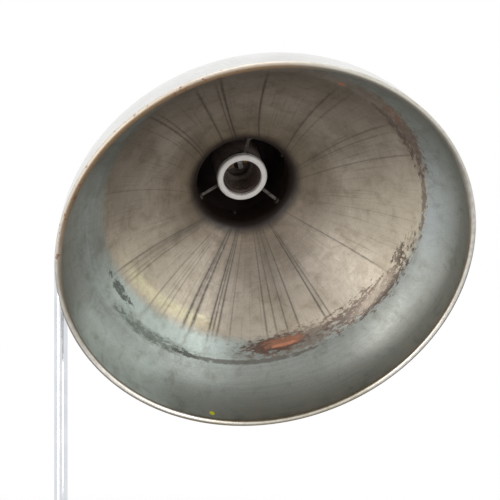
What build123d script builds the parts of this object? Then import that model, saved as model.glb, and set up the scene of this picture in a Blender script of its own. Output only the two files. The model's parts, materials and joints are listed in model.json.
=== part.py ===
# Jewellers lamp: a wide spun shade on a swivel and tilt knuckle, carried by a swan neck
# that rises and swings in a post on a weighted round foot.
# Millimetres, +Z up; the origin is the centre of the felt's underside, on the post's axis.

import os

from build123d import *

os.makedirs("parts", exist_ok=True)

# Fits and edges
running_fit = 0.06
seat_fit = 0.05
slip = 0.4
face_gap = 0.1
edge_break = 0.8
slot_width = 0.8
slot_depth = 0.6

# Foot
base_radius = 100.0
base_height = 34.0
tier_radius = 64.0
tier_rise = 12.0
base_edge_radius = 8.0
step_radius = 3.5
cover_wall = 1.2
cover_lift = 1.0
felt_thickness = 2.0
plate_thickness = 1.5
plate_screws = 3
plate_screw_margin = 18.4
plate_screw_radius = 2.0
plate_screw_head = 3.3
plate_screw_length = 12.0
boss_radius = 20.0

# Bright tube of the swan neck, and the post it slides in
tube_radius = 6.0
tube_wall = 1.5
tube_foot = 90.0
bend_radius = 112.0
arm_straight = 6.3
post_gap = 0.5
post_wall = 1.5
clamp_top = 200.0

# Stem socket and its nut
spigot_radius = 8.0
spigot_wall = 3.0
spigot_clear = 2.0
socket_hub_wall = 4.5
socket_flange_width = 8.5
socket_flange_height = 4.0
socket_height = 26.0
socket_seat = 20.0
socket_edge = 1.5
socket_root = 4.0
socket_nut_flats = 24.0
socket_nut_height = 7.0
socket_washer_radius = 15.0
socket_washer_height = 2.0
nut_room = 3.0
washer_room = 1.0

# Mains inlet, terminals and switch leads
inlet_radius = 5.0
inlet_bore = 3.25
inlet_clear = 0.7
inlet_flange_width = 1.6
inlet_flange_height = 2.5
inlet_edge = 1.2
inlet_length = 11.0
slot_room = 6.0
lead_slot_width = 16.0
terminal_width = 12.0
terminal_length = 24.0
terminal_height = 10.0
terminal_offset = 52.0
terminal_pitch = 11.0
terminal_screw_radius = 1.8
terminal_screw_length = 4.0
terminal_screw_sink = 1.0
lead_radius = 0.9
lead_bend = 3.0
lead_rise = 4.0
lead_end_gap = 1.0
lead_drop = 6.3
lead_reach = 26.0

# Toggle switch
switch_offset = 40.0
switch_width = 16.0
switch_length = 26.0
switch_rise = 10.3
switch_room = 5.0
switch_tail_depth = 9.0
tag_width = 4.5
tag_thickness = 0.9
tag_length = 5.0
tag_pitch = 18.0
switch_bush_radius = 6.0
switch_bush_bore = 3.7
switch_bush_height = 7.0
switch_ring_width = 3.0
switch_ring_height = 3.4
dolly_ball_radius = 3.3
dolly_length = 17.0
dolly_tip_radius = 2.9
dolly_root_radius = 1.7
dolly_tail_radius = 1.2
dolly_tail_length = 6.8
dolly_lean = 15.0
dolly_pivot_rise = 2.2
dolly_pin_radius = 1.0
dolly_pin_sink = 0.2

# Clamp on the post
clamp_height = 26.0
clamp_wall = 4.0
clamp_lip = 2.0
clamp_edge = 3.0
clamp_root = 2.0
bush_height = 14.0
clamp_boss_radius = 5.5
clamp_boss_height = 4.0
clamp_screw_radius = 2.5
clamp_screw_drop = 9.0
thumb_radius = 9.0
thumb_height = 7.0
thumb_neck = 5.0
clamp_pad_radius = 2.4
clamp_pad_height = 2.0
flutes = 12
flute_radius = 1.6
flute_offset = 0.5

# Running foot of the swan neck
plug_length = 16.0
plug_shoulder = 2.0
pin_step = 1.5
pin_wall = 0.8
pin_tail = 1.0
piston_height = 10.0
clip_height = 1.0
clip_width = 2.0
clip_groove = 0.4
clip_gap = 3.0
flex_gap = 0.2
flex_tail = 8.0
flex_end = 1.0

# Rest pose of the arm, the swivel and the shade
swing_rest = -24.0
roll_rest = -53.19
tilt_rest = -29.23
pivot_height = 530.0

# Swivel and tilt knuckle
ferrule_wall = 3.0
ferrule_socket = 11.5
ferrule_edge = 1.5
journal_step = 1.0
journal_bore = 2.6
journal_length = 10.2
groove_width = 3.8
groove_depth = 1.0
stop_screw_radius = 1.5
stop_screw_sink = 0.3
shank_length = 10.0
knuckle_radius = 11.0
knuckle_room = 3.0
yoke_corner = 5.0
tongue_thickness = 8.0
washer_thickness = 1.0
washer_inset = 1.5
cheek_thickness = 5.0
bolt_radius = 3.0
bolt_head_radius = 6.0
bolt_head_height = 4.0
bolt_slot_width = 1.4
bolt_slot_depth = 1.5
knob_radius = 11.0
knob_height = 10.0
knob_boss_radius = 6.5
knob_boss_height = 3.0
knob_roof = 2.0

# Shade, heights measured from the plane of its rim toward the pivot
rim_radius = 140.0
bead_radius = 2.2
shade_wall = 0.8
bead_step = 1.6
skirt_height = 14.0
crease_radius = 116.0
crease_height = 49.0
dome_height = 115.5
dome_bulge = 5.0
neck_radius = 35.9
neck_length = 20.5
neck_fillet = 8.0

# Cap over the neck
cap_gap = 0.4
cap_wall = 0.9
cap_lap = 9.0
cap_shoulder = 16.0
cap_room = 8.0
cap_screws_count = 3
cap_screw_radius = 1.5
cap_screw_head = 3.0
cap_screw_height = 1.8
cap_screw_turn = 60.0
seat_radius = 15.0
seat_height = 5.0
blade_height = 18.0
nipple_radius = 5.0
nipple_bore = 2.8
nipple_length = 17.0
nipple_roof = 9.0
lock_nut_flats = 16.0
lock_nut_height = 4.0

# Lampholder for a 27 mm screw cap
shell_bore = 13.3
shell_wall = 0.5
shell_depth = 17.0
shell_lip = 4.3
shell_gap = 0.9
sleeve_gap = 1.2
sleeve_wall = 2.0
ring_setback = 7.0
ring_wall = 2.2
ring_overhang = 1.3
ring_lip = 3.6
ring_grip = 1.8
ring_edge = 1.8
ring_bore_edge = 1.2
ring_back_edge = 0.8
holder_step = 1.5
holder_chamber = 12.0
holder_slope = 5.0
holder_boss_height = 7.0
holder_boss_radius = 9.0
holder_roof = 4.0
holder_corner = 5.0
holder_root = 3.0
holder_boss_edge = 1.0
insert_recess = 6.0
insert_height = 6.0
contact_width = 7.0
contact_thickness = 0.6
contact_rise = 5.4
contact_tip = 3.5
contact_bend = 0.4
rivet_radius = 1.6
rivet_head_radius = 2.3
rivet_head_height = 0.8
rivet_spread = 6.0
rivet_margin = 0.5
terminal_radius = 2.8
terminal_base = 2.5
terminal_top_radius = 2.0
terminal_top = 1.0
terminal_spread = 8.5

# Spider that carries the shade's neck on the holder
spider_angle = -67.0
spider_arms = 3
spider_inset = 0.2
spider_root = 1.0
spider_thickness = 1.4
spider_width = 2.4
spider_drop = 4.5
spider_tab = 5.0
spider_tab_radius = 2.6
spider_tab_gap = 0.15
spider_elbow = 1.2
spider_rivet_radius = 1.2
spider_rivet_head = 2.2
spider_rivet_height = 0.9

# Sizes that follow from the above
plate_top = felt_thickness + plate_thickness
tier_height = base_height - tier_rise
cover_under = base_height - cover_wall
pad_radius = base_radius - cover_wall - slip
plate_screw_circle = pad_radius - plate_screw_margin
weight_top = tier_height - cover_wall - slip
slot_start = boss_radius + slot_room
tube_bore = tube_radius - tube_wall
post_bore = tube_radius + post_gap
post_radius = post_bore + post_wall
socket_bore = spigot_radius - spigot_wall
socket_hub_radius = post_radius + socket_hub_wall
socket_flange_radius = socket_hub_radius + socket_flange_width
socket_top = base_height + socket_height
post_foot = socket_top - socket_seat
nut_roof = plate_top + nut_room + socket_nut_height + socket_washer_height
spigot_foot = plate_top + spigot_clear
inlet_height = plate_top + inlet_clear + inlet_radius
inlet_flange_radius = inlet_radius + inlet_flange_width
terminal_front = terminal_offset - terminal_length / 2
switch_foot = plate_top + switch_rise
lead_level = cover_under - lead_drop
dolly_height = base_height + dolly_pivot_rise
post_top = clamp_top - clamp_lip - bush_height
clamp_radius = post_radius + clamp_wall
clamp_boss_end = clamp_radius + clamp_boss_height
clamp_screw_level = clamp_top - clamp_screw_drop
clamp_pad_end = tube_radius + running_fit + clamp_pad_height
thumb_start = clamp_boss_end + thumb_neck
pin_radius = tube_bore - pin_step
pin_bore = pin_radius - pin_wall
flex_radius = pin_bore - flex_gap
plug_foot = tube_foot - plug_shoulder
piston_foot = plug_foot - face_gap - piston_height
clip_top = piston_foot - face_gap
clip_foot = clip_top - clip_height
pin_foot = clip_foot - pin_tail
flex_foot = pin_foot - flex_tail
ferrule_radius = tube_radius + ferrule_wall
ferrule_length = ferrule_socket + journal_length + slip
journal_radius = tube_radius - journal_step
yoke_crotch = knuckle_radius + knuckle_room
yoke_back = yoke_crotch + shank_length
arm_reach = bend_radius + arm_straight + ferrule_length + face_gap + yoke_back
ferrule_front = arm_reach - yoke_back - face_gap
ferrule_back = ferrule_front - ferrule_length
tube_end = ferrule_back + ferrule_socket
stop_level = ferrule_front - journal_length / 2
washer_face = tongue_thickness / 2 + face_gap
washer_radius = knuckle_radius - washer_inset
cheek_face = washer_face + washer_thickness
cheek_back = cheek_face + cheek_thickness
knob_face = cheek_back + face_gap
knob_bore_depth = knob_boss_height + knob_height - knob_roof
skirt_radius = rim_radius - bead_step
neck_bore = neck_radius - shade_wall
neck_top = dome_height + neck_length
cap_radius = neck_radius + cap_gap + cap_wall
cap_foot = neck_top - cap_lap
cap_screw_level = neck_top - cap_lap / 2
shell_radius = shell_bore + shell_wall
sleeve_bore = shell_radius + sleeve_gap
sleeve_radius = sleeve_bore + sleeve_wall
ring_radius = sleeve_radius + ring_wall
ring_bore = shell_bore + ring_overhang
ring_front = dome_height + ring_setback
ring_back = ring_front + ring_lip + ring_grip
holder_front = ring_front + ring_lip + face_gap
holder_radius = sleeve_radius + holder_step
holder_shoulder = ring_back + spider_thickness + face_gap
shell_front = ring_front + ring_lip + shell_gap
insert_front = shell_front + shell_depth
insert_floor = insert_front + insert_recess
insert_back = insert_floor + insert_height
holder_crown = insert_floor + holder_chamber
holder_cone = holder_crown + holder_slope
holder_top = holder_cone + holder_boss_height
cap_top = holder_top + cap_room
seat_top = cap_top + seat_height
shade_drop = seat_top + blade_height
nipple_foot = cap_top - nipple_length
spider_hub_radius = ring_radius - spider_inset
spider_foot = dome_height + spider_drop
spider_rivet_level = spider_foot + spider_tab / 2
tab_back = neck_bore - spider_tab_gap
tab_face = tab_back - spider_thickness

# Frames: the neck at its swing, the arm along its end, the yoke on the swivel,
# the head on the tilt pivot with its origin in the rim's plane
front = Plane(origin=(0, 0, 0), x_dir=(1, 0, 0), z_dir=(0, -1, 0))
rear = Plane(origin=(0, 0, 0), x_dir=(-1, 0, 0), z_dir=(0, 1, 0))
along = Location((0, 0, 0), (0, 90, 0))
neck = Plane(Location((0, 0, 0), (0, 0, swing_rest)))
neck_side = Plane(neck.location * Plane.XZ.location)
arm = Plane(neck.location * Location((0, 0, pivot_height)) * along)
yoke_frame = Plane(neck.location * Location((arm_reach, 0, pivot_height), (roll_rest, 0, 0)))
yoke_arm = Plane(yoke_frame.location * along)
yoke_side = Plane(yoke_frame.location * Plane.XZ.location)
tilt_axis = Axis(yoke_frame.origin, yoke_frame.y_dir)
head_tilt = Location((0, 0, 0), (0, tilt_rest, 0))
head = Plane(yoke_frame.location * head_tilt * Location((0, 0, -shade_drop)))
head_side = Plane(head.location * Plane.XZ.location)
head_axis = Axis(head.origin, head.z_dir)
dolly_frame = Plane(Location((0, -switch_offset, dolly_height), (-dolly_lean, 0, 0)))
dolly_side = Plane(dolly_frame.location * Plane.XZ.location)
dolly_axis = Axis(dolly_frame.origin, dolly_frame.z_dir)


def head_spoke(turn, level):
    """Plane on the head's axis at a level, facing outward at a turn about that axis."""
    return Plane(head.location * Location((0, 0, level), (0, 0, turn)) * along)


spider_turns = [spider_angle + 360 / spider_arms * k for k in range(spider_arms)]
cap_turns = [spider_angle + cap_screw_turn + 360 / cap_screws_count * k for k in range(cap_screws_count)]

# Felt pad: the face the lamp stands on
with BuildPart() as felt_pad:
    with BuildSketch():
        Circle(pad_radius)
    extrude(amount=felt_thickness)
felt_pad.part.label = "felt_pad"
export_step(felt_pad.part, "parts/felt_pad.step")

# Base plate with holes countersunk from below
with BuildPart() as base_plate:
    with BuildSketch(Plane.XY.offset(felt_thickness)):
        Circle(pad_radius)
    extrude(amount=plate_thickness)
    with BuildSketch(Plane.XY.offset(felt_thickness)):
        with PolarLocations(plate_screw_circle, plate_screws):
            Circle(plate_screw_radius + seat_fit)
    extrude(amount=plate_thickness, mode=Mode.SUBTRACT)
    with BuildSketch(Plane.XY.offset(felt_thickness)):
        with PolarLocations(plate_screw_circle, plate_screws):
            Circle(plate_screw_head + seat_fit)
    extrude(amount=plate_screw_head - plate_screw_radius, taper=45, mode=Mode.SUBTRACT)
base_plate.part.label = "base_plate"
export_step(base_plate.part, "parts/base_plate.step")

# Base plate screws: countersunk slotted heads, shanks up into the weight
with BuildPart() as base_plate_screws:
    with BuildSketch(Plane.XY.offset(felt_thickness)):
        with PolarLocations(plate_screw_circle, plate_screws):
            Circle(plate_screw_head)
    extrude(amount=plate_screw_head - plate_screw_radius, taper=45)
    with BuildSketch(Plane.XY.offset(felt_thickness)):
        with PolarLocations(plate_screw_circle, plate_screws):
            Circle(plate_screw_radius)
    extrude(amount=plate_screw_length)
    with BuildSketch(Plane.XY.offset(felt_thickness)):
        with PolarLocations(plate_screw_circle, plate_screws):
            Rectangle(3 * plate_screw_head, slot_width)
    extrude(amount=slot_depth, mode=Mode.SUBTRACT)
base_plate_screws.part.label = "base_plate_screws"
export_step(base_plate_screws.part, "parts/base_plate_screws.step")

# Cast weight: a chamfered disc with a boss under the cover, a nut recess below,
# a pocket for the switch in front and a slot for inlet and terminals behind
with BuildPart() as base_weight:
    with BuildSketch(Plane.XY.offset(plate_top)):
        Circle(pad_radius)
    extrude(amount=weight_top - plate_top)
    chamfer(base_weight.edges().sort_by(Axis.Z)[-1], base_edge_radius)
    with BuildSketch(Plane.XY.offset(weight_top)):
        Circle(boss_radius)
    extrude(amount=cover_under - weight_top)
    with BuildSketch(Plane.XY.offset(plate_top)):
        Circle(spigot_radius + seat_fit)
    extrude(amount=base_height, mode=Mode.SUBTRACT)
    with BuildSketch(Plane.XY.offset(plate_top)):
        Circle(socket_washer_radius + washer_room)
    extrude(amount=nut_roof - plate_top, mode=Mode.SUBTRACT)
    with BuildSketch(Plane.XY.offset(plate_top)):
        with Locations((0, -switch_offset)):
            Rectangle(switch_width + 2 * switch_room, switch_length + 2 * switch_room)
        with Locations((0, (base_radius + slot_start) / 2)):
            Rectangle(lead_slot_width, base_radius - slot_start)
        Circle(boss_radius, mode=Mode.SUBTRACT)
    extrude(amount=weight_top, mode=Mode.SUBTRACT)
    with BuildSketch(Plane.XY.offset(plate_top)):
        with PolarLocations(plate_screw_circle, plate_screws):
            Circle(plate_screw_radius + seat_fit)
    extrude(amount=plate_screw_length, mode=Mode.SUBTRACT)
base_weight.part.label = "base_weight"
export_step(base_weight.part, "parts/base_weight.step")

# Spun cover in two tiers, with holes for the socket, the switch and the inlet
with BuildPart() as base_cover:
    with BuildSketch(Plane.XZ):
        with BuildLine():
            cover_line = FilletPolyline(
                (base_radius, cover_lift),
                (base_radius, tier_height),
                (tier_radius, tier_height),
                (tier_radius, base_height),
                (0, base_height),
                radius=[base_edge_radius, step_radius, base_edge_radius],
            )
            Polyline(cover_line @ 1, (0, cover_lift), cover_line @ 0)
        make_face()
    revolve(axis=Axis.Z)
    offset(amount=-cover_wall, openings=base_cover.faces().sort_by(Axis.Z)[0])
    with BuildSketch(Plane.XY.offset(cover_under - cover_wall)):
        Circle(spigot_radius + seat_fit)
        with Locations((0, -switch_offset)):
            Circle(switch_bush_radius + seat_fit)
    extrude(amount=3 * cover_wall, mode=Mode.SUBTRACT)
    with BuildSketch(rear.offset(tier_radius)):
        with Locations((0, inlet_height)):
            Circle(inlet_radius + seat_fit)
    extrude(amount=base_radius, mode=Mode.SUBTRACT)
base_cover.part.label = "base_cover"
export_step(base_cover.part, "parts/base_cover.step")

# Stem socket: flange on the cover, hub that takes the post, hollow spigot through the weight
with BuildPart() as stem_socket:
    with BuildSketch(Plane.XZ):
        with BuildLine():
            socket_line = FilletPolyline(
                (spigot_radius, spigot_foot),
                (spigot_radius, base_height),
                (socket_flange_radius, base_height),
                (socket_flange_radius, base_height + socket_flange_height),
                (socket_hub_radius, base_height + socket_flange_height),
                (socket_hub_radius, socket_top),
                (post_radius + seat_fit, socket_top),
                radius=[0, 0, socket_edge, socket_root, socket_edge],
            )
            Polyline(
                socket_line @ 1,
                (post_radius + seat_fit, post_foot),
                (socket_bore, post_foot),
                (socket_bore, spigot_foot),
                socket_line @ 0,
            )
        make_face()
    revolve(axis=Axis.Z)
stem_socket.part.label = "stem_socket"
export_step(stem_socket.part, "parts/stem_socket.step")

# Washer and hexagon nut that draw the socket down on the weight
with BuildPart() as socket_washer:
    with BuildSketch(Plane.XY.offset(nut_roof - socket_washer_height)):
        Circle(socket_washer_radius)
        Circle(spigot_radius + seat_fit, mode=Mode.SUBTRACT)
    extrude(amount=socket_washer_height)
socket_washer.part.label = "socket_washer"
export_step(socket_washer.part, "parts/socket_washer.step")

with BuildPart() as socket_nut:
    with BuildSketch(Plane.XY.offset(plate_top + nut_room)):
        RegularPolygon(socket_nut_flats / 2, 6, major_radius=False)
        Circle(spigot_radius + seat_fit, mode=Mode.SUBTRACT)
    extrude(amount=socket_nut_height)
socket_nut.part.label = "socket_nut"
export_step(socket_nut.part, "parts/socket_nut.step")

# Inlet bush at the back of the foot
with BuildPart() as inlet_bush:
    with BuildSketch(rear.offset(base_radius - inlet_length)):
        with Locations((0, inlet_height)):
            Circle(inlet_radius)
    extrude(amount=inlet_length)
    with BuildSketch(rear.offset(base_radius)):
        with Locations((0, inlet_height)):
            Circle(inlet_flange_radius)
    extrude(amount=inlet_flange_height)
    fillet(inlet_bush.edges().sort_by(Axis.Y)[-1], inlet_edge)
    with BuildSketch(rear.offset(base_radius - inlet_length)):
        with Locations((0, inlet_height)):
            Circle(inlet_bore)
    extrude(amount=inlet_length + inlet_flange_height, mode=Mode.SUBTRACT)
inlet_bush.part.label = "inlet_bush"
export_step(inlet_bush.part, "parts/inlet_bush.step")

# Terminal block on the base plate, with its four screws
with BuildPart() as terminal_block:
    with BuildSketch(Plane.XY.offset(plate_top)):
        with Locations((0, terminal_offset)):
            Rectangle(terminal_width, terminal_length)
    extrude(amount=terminal_height)
    with BuildSketch(Plane.XY.offset(plate_top + terminal_height)):
        with Locations((0, terminal_offset)):
            with GridLocations(terminal_width / 2, terminal_pitch, 2, 2):
                Circle(terminal_screw_radius + seat_fit)
    extrude(amount=-terminal_screw_length - terminal_screw_sink, mode=Mode.SUBTRACT)
terminal_block.part.label = "terminal_block"
export_step(terminal_block.part, "parts/terminal_block.step")

with BuildPart() as terminal_screws:
    with BuildSketch(Plane.XY.offset(plate_top + terminal_height - terminal_screw_sink)):
        with Locations((0, terminal_offset)):
            with GridLocations(terminal_width / 2, terminal_pitch, 2, 2):
                Circle(terminal_screw_radius)
    extrude(amount=-terminal_screw_length)
terminal_screws.part.label = "terminal_screws"
export_step(terminal_screws.part, "parts/terminal_screws.step")

# Toggle switch body under the cover, hollow at the top for the dolly's tail
with BuildPart() as switch_body:
    with BuildSketch(Plane.XY.offset(switch_foot)):
        with Locations((0, -switch_offset)):
            Rectangle(switch_width, switch_length)
    extrude(amount=cover_under - switch_foot)
    with BuildSketch(Plane.XY.offset(cover_under)):
        with Locations((0, -switch_offset)):
            Circle(switch_bush_bore)
    extrude(amount=-switch_tail_depth, mode=Mode.SUBTRACT)
switch_body.part.label = "switch_body"
export_step(switch_body.part, "parts/switch_body.step")

with BuildPart() as switch_tags:
    with BuildSketch(Plane.XY.offset(switch_foot)):
        with Locations((0, -switch_offset)):
            with GridLocations(tag_width, tag_pitch, 1, 2):
                Rectangle(tag_width, tag_thickness)
    extrude(amount=-tag_length)
switch_tags.part.label = "switch_tags"
export_step(switch_tags.part, "parts/switch_tags.step")

# Threaded bush through the cover, cross drilled for the dolly's pin, and its ring nut
with BuildPart() as switch_bush:
    with BuildSketch(Plane.XY.offset(cover_under)):
        with Locations((0, -switch_offset)):
            Circle(switch_bush_radius)
            Circle(switch_bush_bore, mode=Mode.SUBTRACT)
    extrude(amount=cover_wall + switch_bush_height)
    chamfer(switch_bush.edges().group_by(Axis.Z)[-1], edge_break)
    with BuildSketch(Plane.YZ.offset(-base_radius)):
        with Locations((-switch_offset, dolly_height)):
            Circle(dolly_pin_radius + seat_fit)
    extrude(amount=2 * base_radius, mode=Mode.SUBTRACT)
switch_bush.part.label = "switch_bush"
export_step(switch_bush.part, "parts/switch_bush.step")

with BuildPart() as switch_ring:
    with BuildSketch(Plane.XY.offset(base_height)):
        with Locations((0, -switch_offset)):
            Circle(switch_bush_radius + switch_ring_width)
            Circle(switch_bush_radius + seat_fit, mode=Mode.SUBTRACT)
    extrude(amount=switch_ring_height)
    chamfer(switch_ring.edges().group_by(Axis.Z)[-1].sort_by(SortBy.LENGTH)[-1], edge_break)
switch_ring.part.label = "switch_ring"
export_step(switch_ring.part, "parts/switch_ring.step")

with BuildPart() as dolly_pin:
    with BuildSketch(Plane.YZ.offset(dolly_pin_sink - switch_bush_radius)):
        with Locations((-switch_offset, dolly_height)):
            Circle(dolly_pin_radius)
    extrude(amount=2 * (switch_bush_radius - dolly_pin_sink))
dolly_pin.part.label = "dolly_pin"
export_step(dolly_pin.part, "parts/dolly_pin.step")

# Dolly: ball on the pin, tapering lever above, short tail below
with BuildPart() as switch_dolly:
    with BuildSketch(dolly_side):
        Circle(dolly_ball_radius)
        with BuildLine():
            Polyline(
                (0, 0),
                (dolly_root_radius, 0),
                (dolly_tip_radius, dolly_length - dolly_tip_radius),
                (0, dolly_length - dolly_tip_radius),
                close=True,
            )
        make_face()
        with Locations((0, dolly_length - dolly_tip_radius)):
            Circle(dolly_tip_radius)
        with Locations((0, -dolly_tail_length / 2)):
            Rectangle(2 * dolly_tail_radius, dolly_tail_length)
        with Locations((-dolly_length, 0)):
            Rectangle(2 * dolly_length, 4 * dolly_length, mode=Mode.SUBTRACT)
    revolve(axis=dolly_axis)
    with BuildSketch(Plane.YZ.offset(-base_radius)):
        with Locations((-switch_offset, dolly_height)):
            Circle(dolly_pin_radius + running_fit)
    extrude(amount=2 * base_radius, mode=Mode.SUBTRACT)
switch_dolly.part.label = "switch_dolly"
export_step(switch_dolly.part, "parts/switch_dolly.step")

# Leads from the terminals over the weight, round the boss and down to the switch tags
with BuildPart() as switch_leads:
    for side in (-1, 1):
        lead_y = terminal_front - lead_end_gap / 2
        lead_start = Vector(side * terminal_width / 4, lead_y, plate_top + lead_rise)
        drop_x = side * (switch_width / 2 + switch_room / 2)
        tag_y = -switch_offset + side * tag_pitch / 2
        with BuildLine():
            FilletPolyline(
                lead_start,
                (lead_start.X, (terminal_front + slot_start) / 2, lead_start.Z),
                (lead_start.X, (terminal_front + slot_start) / 2, lead_level),
                (side * lead_reach, boss_radius, lead_level),
                (side * lead_reach, -boss_radius, lead_level),
                (drop_x, tag_y, lead_level),
                (drop_x, tag_y, switch_foot - tag_length / 2),
                (side * (tag_width + lead_end_gap) / 2, tag_y, switch_foot - tag_length / 2),
                radius=lead_bend,
            )
        with BuildSketch(Plane(origin=lead_start, z_dir=(0, -1, 0))):
            Circle(lead_radius)
        sweep()
switch_leads.part.label = "switch_leads"
export_step(switch_leads.part, "parts/switch_leads.step")

# Post tube standing in the socket
with BuildPart() as post_tube:
    with BuildSketch(Plane.XY.offset(post_foot)):
        Circle(post_radius)
        Circle(post_bore, mode=Mode.SUBTRACT)
    extrude(amount=post_top - post_foot)
post_tube.part.label = "post_tube"
export_step(post_tube.part, "parts/post_tube.step")

# Clamp head on the post's top, with a boss for the thumbscrew
with BuildPart() as clamp_head:
    with BuildSketch(Plane.XZ):
        with BuildLine():
            clamp_line = FilletPolyline(
                (post_radius + seat_fit, clamp_top - clamp_height),
                (clamp_radius, clamp_top - clamp_height),
                (clamp_radius, clamp_top),
                (tube_radius + slip, clamp_top),
                radius=[clamp_root, clamp_edge],
            )
            Polyline(
                clamp_line @ 1,
                (tube_radius + slip, clamp_top - clamp_lip),
                (post_radius + seat_fit, clamp_top - clamp_lip),
                clamp_line @ 0,
            )
        make_face()
    revolve(axis=Axis.Z)
    with BuildSketch(front.offset((post_radius + clamp_radius) / 2)):
        with Locations((0, clamp_screw_level)):
            Circle(clamp_boss_radius)
    extrude(amount=clamp_boss_end - (post_radius + clamp_radius) / 2)
    with BuildSketch(front):
        with Locations((0, clamp_screw_level)):
            Circle(clamp_screw_radius + running_fit)
    extrude(amount=clamp_boss_end, mode=Mode.SUBTRACT)
clamp_head.part.label = "clamp_head"
export_step(clamp_head.part, "parts/clamp_head.step")

# Guide bush between the post and the swan neck, with a hole for the pad
with BuildPart() as guide_bush:
    with BuildSketch(Plane.XY.offset(post_top)):
        Circle(post_radius)
        Circle(tube_radius + running_fit, mode=Mode.SUBTRACT)
    extrude(amount=bush_height - face_gap)
    with BuildSketch(front):
        with Locations((0, clamp_screw_level)):
            Circle(clamp_pad_radius + seat_fit)
    extrude(amount=clamp_radius, mode=Mode.SUBTRACT)
guide_bush.part.label = "guide_bush"
export_step(guide_bush.part, "parts/guide_bush.step")

# Pad in the bush, hollowed to the tube, that the thumbscrew presses on
with BuildPart() as clamp_pad:
    with BuildSketch(front):
        with Locations((0, clamp_screw_level)):
            Circle(clamp_pad_radius)
    extrude(amount=clamp_pad_end)
    with BuildSketch(Plane.XY.offset(post_top)):
        Circle(tube_radius + running_fit)
    extrude(amount=bush_height, mode=Mode.SUBTRACT)
clamp_pad.part.label = "clamp_pad"
export_step(clamp_pad.part, "parts/clamp_pad.step")

# Thumbscrew: plain shank and a fluted head
with BuildPart() as clamp_screw:
    with BuildSketch(front.offset(clamp_pad_end + face_gap)):
        with Locations((0, clamp_screw_level)):
            Circle(clamp_screw_radius)
    extrude(amount=thumb_start - clamp_pad_end - face_gap)
    with BuildSketch(front.offset(thumb_start)):
        with Locations((0, clamp_screw_level)):
            Circle(thumb_radius)
            with PolarLocations(thumb_radius + flute_offset, flutes):
                Circle(flute_radius, mode=Mode.SUBTRACT)
    extrude(amount=thumb_height)
    chamfer(clamp_screw.faces().sort_by(Axis.Y)[0].edges(), edge_break)
clamp_screw.part.label = "clamp_screw"
export_step(clamp_screw.part, "parts/clamp_screw.step")

# Guide piston: slides in the post and carries the neck's pin
with BuildPart() as guide_piston:
    with BuildSketch(Plane.XY.offset(piston_foot)):
        Circle(post_bore - running_fit)
        Circle(pin_radius + running_fit, mode=Mode.SUBTRACT)
    extrude(amount=piston_height)
guide_piston.part.label = "guide_piston"
export_step(guide_piston.part, "parts/guide_piston.step")

# Foot plug in the tube: shoulder on the piston, hollow pin through it, clip groove
with BuildPart() as foot_plug:
    with BuildSketch(Plane.XZ):
        with BuildLine():
            Polyline(
                (pin_bore, tube_foot + plug_length),
                (tube_bore - seat_fit, tube_foot + plug_length),
                (tube_bore - seat_fit, tube_foot),
                (tube_radius, tube_foot),
                (tube_radius, plug_foot),
                (pin_radius, plug_foot),
                (pin_radius, clip_top),
                (pin_radius - clip_groove, clip_top),
                (pin_radius - clip_groove, clip_foot),
                (pin_radius, clip_foot),
                (pin_radius, pin_foot),
                (pin_bore, pin_foot),
                close=True,
            )
        make_face()
    revolve(axis=Axis.Z)
foot_plug.part.label = "foot_plug"
export_step(foot_plug.part, "parts/foot_plug.step")

# Retaining clip, open on one side
with BuildPart() as foot_clip:
    with BuildSketch(Plane.XY.offset(clip_foot)):
        Circle(pin_radius - clip_groove + clip_width)
        Circle(pin_radius - clip_groove, mode=Mode.SUBTRACT)
        with Locations((pin_radius, 0)):
            Rectangle(2 * pin_radius, clip_gap, mode=Mode.SUBTRACT)
    extrude(amount=clip_height)
foot_clip.part.label = "foot_clip"
export_step(foot_clip.part, "parts/foot_clip.step")

# Swan neck: one tube, straight up, a quarter bend, then straight into the ferrule
with BuildPart() as neck_tube:
    with BuildLine(neck_side):
        FilletPolyline((0, tube_foot), (0, pivot_height), (tube_end, pivot_height), radius=bend_radius)
    with BuildSketch(neck.offset(tube_foot)):
        Circle(tube_radius)
        Circle(tube_bore, mode=Mode.SUBTRACT)
    sweep()
neck_tube.part.label = "neck_tube"
export_step(neck_tube.part, "parts/neck_tube.step")

# Flex inside the neck, from below the pin to the swivel
with BuildPart() as neck_flex:
    with BuildLine(neck_side):
        flex_far = tube_end - flex_end
        FilletPolyline((0, flex_foot), (0, pivot_height), (flex_far, pivot_height), radius=bend_radius)
    with BuildSketch(neck.offset(flex_foot)):
        Circle(flex_radius)
    sweep()
neck_flex.part.label = "neck_flex"
export_step(neck_flex.part, "parts/neck_flex.step")

# Ferrule on the tube's end, bored for the swivel journal, with a stop screw hole below
with BuildPart() as neck_ferrule:
    with BuildSketch(arm.offset(ferrule_back)):
        Circle(ferrule_radius)
    extrude(amount=ferrule_length)
    fillet(neck_ferrule.edges().filter_by(GeomType.CIRCLE), ferrule_edge)
    with BuildSketch(arm.offset(ferrule_back)):
        Circle(tube_radius + seat_fit)
    extrude(amount=ferrule_socket, mode=Mode.SUBTRACT)
    with BuildSketch(arm.offset(ferrule_back)):
        Circle(journal_radius + running_fit)
    extrude(amount=ferrule_length, mode=Mode.SUBTRACT)
    with BuildSketch(neck.offset(pivot_height)):
        with Locations((stop_level, 0)):
            Circle(stop_screw_radius + seat_fit)
    extrude(amount=-2 * ferrule_radius, mode=Mode.SUBTRACT)
neck_ferrule.part.label = "neck_ferrule"
export_step(neck_ferrule.part, "parts/neck_ferrule.step")

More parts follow.
